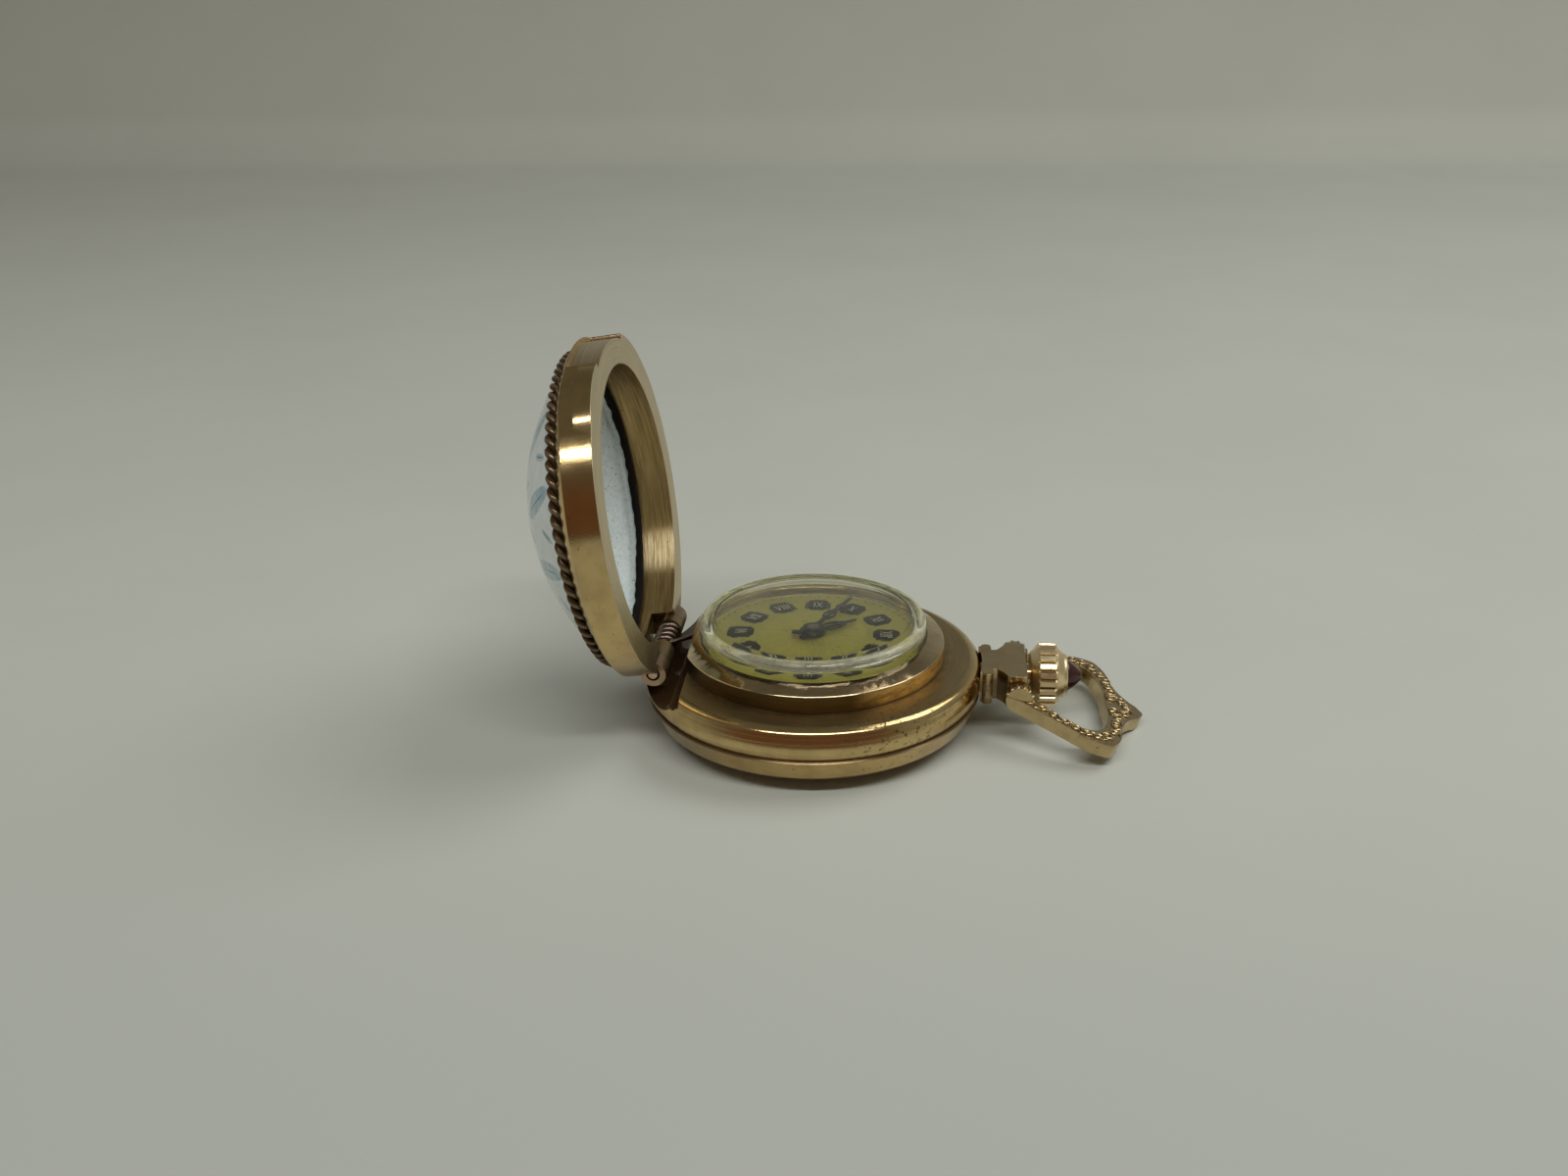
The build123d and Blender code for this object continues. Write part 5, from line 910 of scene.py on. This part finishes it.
# Pieces
def make_crystal(material):
    """Domed crystal with a rounded rim and a foot that spreads to the bezel."""
    foot_z = DIAL_Z + 0.07
    ceiling_z = CRYSTAL_EDGE_Z - CRYSTAL_WALL
    profile = rounded([
        (CRYSTAL_BORE_R, foot_z, 0), (CRYSTAL_FLANGE_R, foot_z, 0),
        (CRYSTAL_FLANGE_R, CRYSTAL_FLANGE_Z, 0.05), (CRYSTAL_R, CRYSTAL_FLANGE_Z, 0),
        (CRYSTAL_R, CRYSTAL_EDGE_Z + 0.12, 0.75), (CRYSTAL_CEILING_R, CRYSTAL_EDGE_Z + 0.11, 0.3),
        (CRYSTAL_BORE_R, CRYSTAL_EDGE_Z, 0),
    ], steps=8)[:-1]
    profile += cap(CRYSTAL_DOME_R, CRYSTAL_EDGE_Z + 0.13, CRYSTAL_TOP_Z)
    ceiling = cap(CRYSTAL_CEILING_R, ceiling_z, CRYSTAL_TOP_Z - CRYSTAL_WALL)
    bend = rounded([
        (CRYSTAL_CEILING_R, ceiling_z, 0), (CRYSTAL_BORE_R, ceiling_z, 0.4), (CRYSTAL_BORE_R, foot_z, 0),
    ], steps=5)
    profile += ceiling[::-1] + bend[1:-1]
    add_piece("crystal_cap", "case", material, lathe(profile), ["crystal"])


def make_seat(material):
    """Pale cement under the crystal's foot."""
    low, high = DIAL_Z + 0.005, DIAL_Z + 0.06
    profile = [
        (CRYSTAL_BORE_R, low), (CRYSTAL_FLANGE_R, low), (CRYSTAL_FLANGE_R, high), (CRYSTAL_BORE_R, high),
    ]
    add_piece("crystal_seat", "case", material, lathe(profile))


def make_enamel(material):
    """Enamel shell of even thickness, with a foot on the lid's ledge."""
    inner_r = ENAMEL_R - ENAMEL_THICK
    inner_ball_r = ENAMEL_BALL_R - ENAMEL_THICK
    inner_edge = ENAMEL_TOP_Z - ENAMEL_BALL_R + math.sqrt(inner_ball_r ** 2 - inner_r ** 2)
    outer = cap(ENAMEL_R, ENAMEL_EDGE_Z, ENAMEL_TOP_Z, steps=24)
    inner = cap(inner_r, inner_edge, ENAMEL_TOP_Z - ENAMEL_THICK, steps=24)
    profile = [(inner_r, LID_LEDGE_Z), (ENAMEL_R, LID_LEDGE_Z)] + outer + inner[::-1]
    bm = lathe(profile, segments=160)
    add_piece("enamel_cap", "lid", material, bm, ["lid_enamel"], LID_TURN)


def make_cement(material):
    """Black bead with a ragged edge, run round inside the enamel's foot."""
    low, high = LID_LEDGE_Z - 0.02, LID_LEDGE_Z + 0.02
    profile = rounded([
        (CEMENT_R - 0.42, low, 0.12), (LID_BORE_R - 0.01, low, 0.0), (LID_BORE_R - 0.01, high, 0.0),
        (CEMENT_R + 0.07, high, 0.0), (CEMENT_R + 0.07, LID_LEDGE_Z + 0.55, 0.02),
        (CEMENT_R - 0.3, LID_LEDGE_Z + 0.5, 0.15),
    ], steps=3)

    def ragged(angle, radius, height):
        if radius > CEMENT_R:
            return radius
        spot = Vector((math.cos(angle), math.sin(angle), height * 0.06)) * 14
        return radius - 0.11 * abs(noise.noise(spot)) + 0.04 * noise.noise(spot * 3)

    bm = lathe(profile, segments=360, shape=ragged)
    for vert in bm.verts:
        if vert.co.z > LID_LEDGE_Z + 0.3:
            vert.co.z += 0.16 * noise.noise(vert.co * 1.3)
    add_piece("cement_bead", "lid", material, bm, ["lid_cement"], LID_TURN, sharp=70)


def make_rope(material):
    """Twisted border of the lid."""
    bm = grow(rope_tree(), {
        "Ring Radius": ROPE_R, "Lay Radius": ROPE_LAY_R, "Strand Radius": ROPE_STRAND_R,
        "Turns": ROPE_TURNS, "Points": ROPE_TURNS * ROPE_POINTS_A_TURN, "Material": material,
    }, ROPE_Z)
    add_piece("rope_border", "lid", material, bm, ["lid_rope_border"], LID_TURN, sharp=80)


def make_minute_dots(material):
    """A dot for each minute, outside the hours."""
    values = {"Ring Radius": MINUTE_R, "Dot Radius": MINUTE_DOT_R, "Count": 60, "Material": material}
    add_piece("minute_dots", "case", material, grow(dot_tree(), values, DIAL_Z + 0.01), sharp=80)


FIGURES = ("XII", "I", "II", "III", "IV", "V", "VI", "VII", "VIII", "IX", "X", "XI")
STROKE_WIDE = {"I": 0.27, "V": 0.58, "X": 0.58}
# Strokes of each letter: start, end and thickness
STROKES = {
    "I": (((0.0, -0.5), (0.0, 0.5), 0.08),),
    "V": (((0.0, -0.5), (-0.5, 0.5), 0.09), ((0.0, -0.5), (0.5, 0.5), 0.05)),
    "X": (((0.5, -0.5), (-0.5, 0.5), 0.09), ((-0.5, -0.5), (0.5, 0.5), 0.05)),
}


def make_numerals(material):
    """Roman hour figures laid on the plaques, tops outwards."""
    bm = bmesh.new()
    for hour, figure in enumerate(FIGURES):
        angle = -HOUR * hour
        out = Vector((math.cos(angle), math.sin(angle), 0.0))
        right = Vector((math.sin(angle), -math.cos(angle), 0.0))
        cursor = -sum(STROKE_WIDE[letter] for letter in figure) / 2
        for letter in figure:
            wide = STROKE_WIDE[letter]
            for start, end, thick in STROKES[letter]:
                corners = []
                for (across, along), side in ((start, -1), (start, 1), (end, 1), (end, -1)):
                    shift = cursor + wide / 2 + across * (wide - NUMERAL_GAP) + side * thick / 2
                    corners.append(out * (NUMERAL_R + along * NUMERAL_TALL) + right * shift)
                low = [bm.verts.new(point + Vector((0, 0, PLAQUE_Z - 0.01))) for point in corners]
                high = [bm.verts.new(point + Vector((0, 0, PLAQUE_Z + 0.02))) for point in corners]
                bm.faces.new(low)
                bm.faces.new(high)
                for step in range(4):
                    after = (step + 1) % 4
                    bm.faces.new((low[step], low[after], high[after], high[step]))
            cursor += wide
    add_piece("hour_figures", "case", material, bm, sharp=30)


def make_crown(material):
    """Crown with rounded flutes, a stepped taper and a bright ring round its stone."""
    profile = rounded([
        (0.0, 0.95, 0), (1.2, 0.95, 0.05), (1.2, 0.0, 0.05), (1.85, 0.0, 0.15), (2.52, 0.62, 0.1),
        (CROWN_R, 0.68, 0.0), (CROWN_R, 0.74, 0.0), (CROWN_R, 1.3, 0.0), (CROWN_R, 1.9, 0.0),
        (CROWN_R, 1.98, 0.0), (2.5, 2.06, 0.05), (2.42, 2.18, 0.05), (2.3, 2.22, 0.05), (1.82, 2.72, 0.06),
        (1.74, 2.92, 0.06), (1.58, 3.02, 0.06), (1.36, 3.02, 0.04), (STONE_R, 2.86, 0.0), (0.0, 2.86, 0),
    ], steps=3)

    def fluted(angle, radius, height):
        """Lands stay round and flat between the grooves, which fade out at both ends."""
        if not FLUTE_START < height < FLUTE_END or radius < FLUTED_FROM_R:
            return radius
        fade = min(1.0, (height - FLUTE_START) / FLUTE_FADE, (FLUTE_END - height) / FLUTE_FADE)
        groove = 0.5 - 0.5 * math.cos(FLUTES * angle)
        share = min(1.0, max(0.0, (groove - FLUTE_LAND) / FLUTE_WALL))
        return radius - FLUTE_DEEP * max(0.0, fade) * share

    bm = lathe(profile, segments=FLUTES * 16, closed=False, shape=fluted)
    add_piece("fluted_crown", "crown_and_stem", material, bm, ["crown"], STEM_TURN, sharp=50)


def make_stone(material):
    """Pointed cabochon in the crown."""
    profile = rounded([
        (0.0, STONE_FOOT, 0), (STONE_R, STONE_FOOT, 0), (STONE_R, 3.08, 0.12), (0.95, 3.62, 0.3),
        (0.36, 4.2, 0.1), (0.0, 4.24, 0),
    ], steps=5)
    bm = lathe(profile, segments=72, closed=False)
    nodes = ["crown_cabochon"]
    add_piece("cabochon_stone", "crown_and_stem", material, bm, nodes, STEM_TURN, sharp=60)


def scroll(bm, centre, start, turn_way, size, wire=0.13, turns=1.45, steps=18):
    """One spiral scroll lying on the bow's top."""
    points, widths = [], []
    for step in range(steps):
        share = step / (steps - 1)
        angle = start + turn_way * share * turns * 2 * math.pi
        out = size * (1.0 - 0.82 * share)
        points.append(Vector((centre[X] + out * math.cos(angle), centre[Y] + out * math.sin(angle), 0.075)))
        widths.append(wire * (0.45 + 0.75 * math.sin(math.pi * min(1.0, share * 1.15 + 0.1))))
    tube(bm, points, widths)


def make_scrolls(material):
    """Raised scrolls and leaves on the bow's top and leaves over its ears, the same on both arms."""
    bm = bmesh.new()
    for side in (-1, 1):
        for index, (along, across, size) in enumerate(BOW_SCROLLS):
            way = side if index % 2 else -side
            start = math.radians(200 if index % 2 else 20) * side
            scroll(bm, (along, across * side), start, way, size)
        for index, (first, second) in enumerate(zip(BOW_SCROLLS, BOW_SCROLLS[1:])):
            here, ahead = Vector((*first[:2], 0)), Vector((*second[:2], 0))
            middle = (here + ahead) / 2
            across = (ahead - here).cross(Vector((0, 0, 1))).normalized() * (0.42 if index % 2 else -0.42)
            points, widths = [], []
            for step in range(7):
                share = step / 6
                dip = across * 0.5 * (2 * share - 1) ** 2
                spot = middle + across + (ahead - here) * (share - 0.5) * 0.8 - dip
                points.append(Vector((spot.x, spot.y * side, 0.07)))
                widths.append(0.11 * math.sin(math.pi * (0.1 + 0.8 * share)))
            tube(bm, points, widths)
        for step in range(EAR_LEAVES):
            angle = math.radians(-80 + 27 * step)
            ear = Vector((EAR_LEAF_R * math.sin(angle), 0.0, EAR_LEAF_R * math.cos(angle)))
            tube(bm, [ear + Vector((0.0, across * side, 0.0)) for across in EAR_LEAF_Y], EAR_LEAF_WIDE)
    add_piece("bow_scrolls", "bow", material, bm, turn=BOW_TURN, sharp=70)


def make_pin(material, dark):
    """Hinge pin with chamfered ends, each in a thin dark ring: painted shade where the pin leaves the knuckle."""
    turn = Matrix.Translation(HINGE) @ Matrix.Rotation(math.radians(90), 4, "X")
    end = PIN_HALF + 0.06
    profile = rounded([(0.0, -end, 0), (PIN_R, -end, 0.12), (PIN_R, end, 0.12), (0.0, end, 0)])
    bm = lathe(profile, segments=48, closed=False)
    add_piece("pin_shaft", "lid", material, bm, ["hinge_pin"], turn)
    inner_r = PIN_R - 0.02
    # Painted shade: a thin dark ring round the pin at each knuckle's end
    for name, side in (("near", -1), ("far", 1)):
        low, high = sorted((side * (PIN_HALF + 0.004), side * (PIN_HALF + 0.02)))
        ring = [(inner_r, low), (PIN_SHADE_RING_R, low), (PIN_SHADE_RING_R, high), (inner_r, high)]
        add_piece("pin_shade_ring_" + name, "lid", dark, lathe(ring, segments=48), turn=turn)


make_camera()
make_floor()
make_light()

# Finishes of the record's material slots, then those of single nodes
materials = {
    "gold_polished": metal("gold_polished", GOLD, 0.13),
    "gold_satin": metal("gold_satin", GOLD, 0.20, wear=0.45),
    "gold_bright": metal("gold_bright", GOLD_ROSE, 0.13),
    "crystal": glass("crystal", GLASS_CLEAR, 0.015, 1.49, crystal_haze),
    "dial": dial_material(),
    "plaque": plain("plaque", (0.016, 0.016, 0.010), 0.5, specular=0.2),
    "enamel": enamel_material(),
    "cement": plain("cement", (0.012, 0.010, 0.009), 0.95, specular=0.1),
    "black_hand": plain("black_hand", (0.016, 0.016, 0.018), 0.28),
    "cabochon": plain("cabochon", (0.045, 0.008, 0.007), 0.07, shade=0.5),
    "steel": metal("steel", (0.46, 0.43, 0.40), 0.2, (0.12, 0.09, 0.07)),
    "brass_plate": metal("brass_plate", (0.66, 0.50, 0.24), 0.25),
    "nickel": metal("nickel", (0.6, 0.58, 0.55), 0.25, (0.3, 0.29, 0.27)),
    "ruby": glass("ruby", (0.55, 0.03, 0.10), 0.04, 1.76),
    "blue_steel": metal("blue_steel", (0.05, 0.08, 0.35), 0.2, (0.03, 0.04, 0.15)),
}
special = {
    "case_band": metal("band_gold", GOLD, 0.14, brushed=band_satin, satin=BAND_BRUSHED, grime_and_shade=band_dirt_and_shade,
                       swell=band_swell),
    "bezel": metal("bezel_gold", BEZEL_GOLD, 0.11, brushed=bezel_wall, satin=BEZEL_BRUSHED, tint=bezel_glint,
                   grime_and_shade=bezel_joints_and_shade),
    "back_cover": metal("back_gold", BACK_GOLD, 0.15, grime_and_shade=back_dirt_and_shade),
    "lid_ring": metal("lid_gold", GOLD, 0.10, home=LID_TURN, brushed=lid_satin, satin=LID_BRUSHED,
                      tint=lid_tint, grime_and_shade=lid_dirt_and_shade),
    "bow": metal("bow_gold", BOW_GOLD, 0.19, grime_and_shade=bow_dark_ground),
    "lid_spring": metal("spring_bronze", (0.22, 0.16, 0.12), 0.25, (0.08, 0.05, 0.04)),
    "pendant": metal("pendant_gold", PENDANT_GOLD, 0.14, grime_and_shade=pendant_side_shade),
}
for row in frame["record"]["subparts"]:
    node = frame["nodes"][row["node"]]
    node.data.materials.clear()
    node.data.materials.append(special.get(row["node"], materials[row["material_slot"]]))

make_crystal(materials["crystal"])
make_seat(plain("pale_cement", (0.86, 0.87, 0.60), 0.6))
make_enamel(materials["enamel"])
make_cement(materials["cement"])
make_rope(metal("rope_gold", ROPE_GOLD, 0.2, home=LID_TURN, grime_and_shade=rope_dirt_and_shade))
make_pin(metal("pin_copper", PIN_COPPER, 0.2), materials["cement"])
make_minute_dots(materials["plaque"])
make_numerals(plain("figure_paint", (0.80, 0.78, 0.62), 0.4))
make_crown(metal("crown_gold", GOLD_PALE, 0.24, grime_and_shade=crown_flute_dirt_and_shade, wear=0.1))
make_stone(materials["cabochon"])
make_scrolls(special["bow"])
for node, body, slot, width in (
    ("pendant", "case", "gold_satin", 0.14), ("bow", "bow", "gold_bright", 0.26),
    ("lid_ring", "lid", "gold_satin", 0.07), ("bezel", "case", "gold_satin", 0.09),
):
    add_piece("soft_" + node, body, special[node], soft_copy(node, width), [node])

bpy.context.scene.view_settings.view_transform = "Standard"
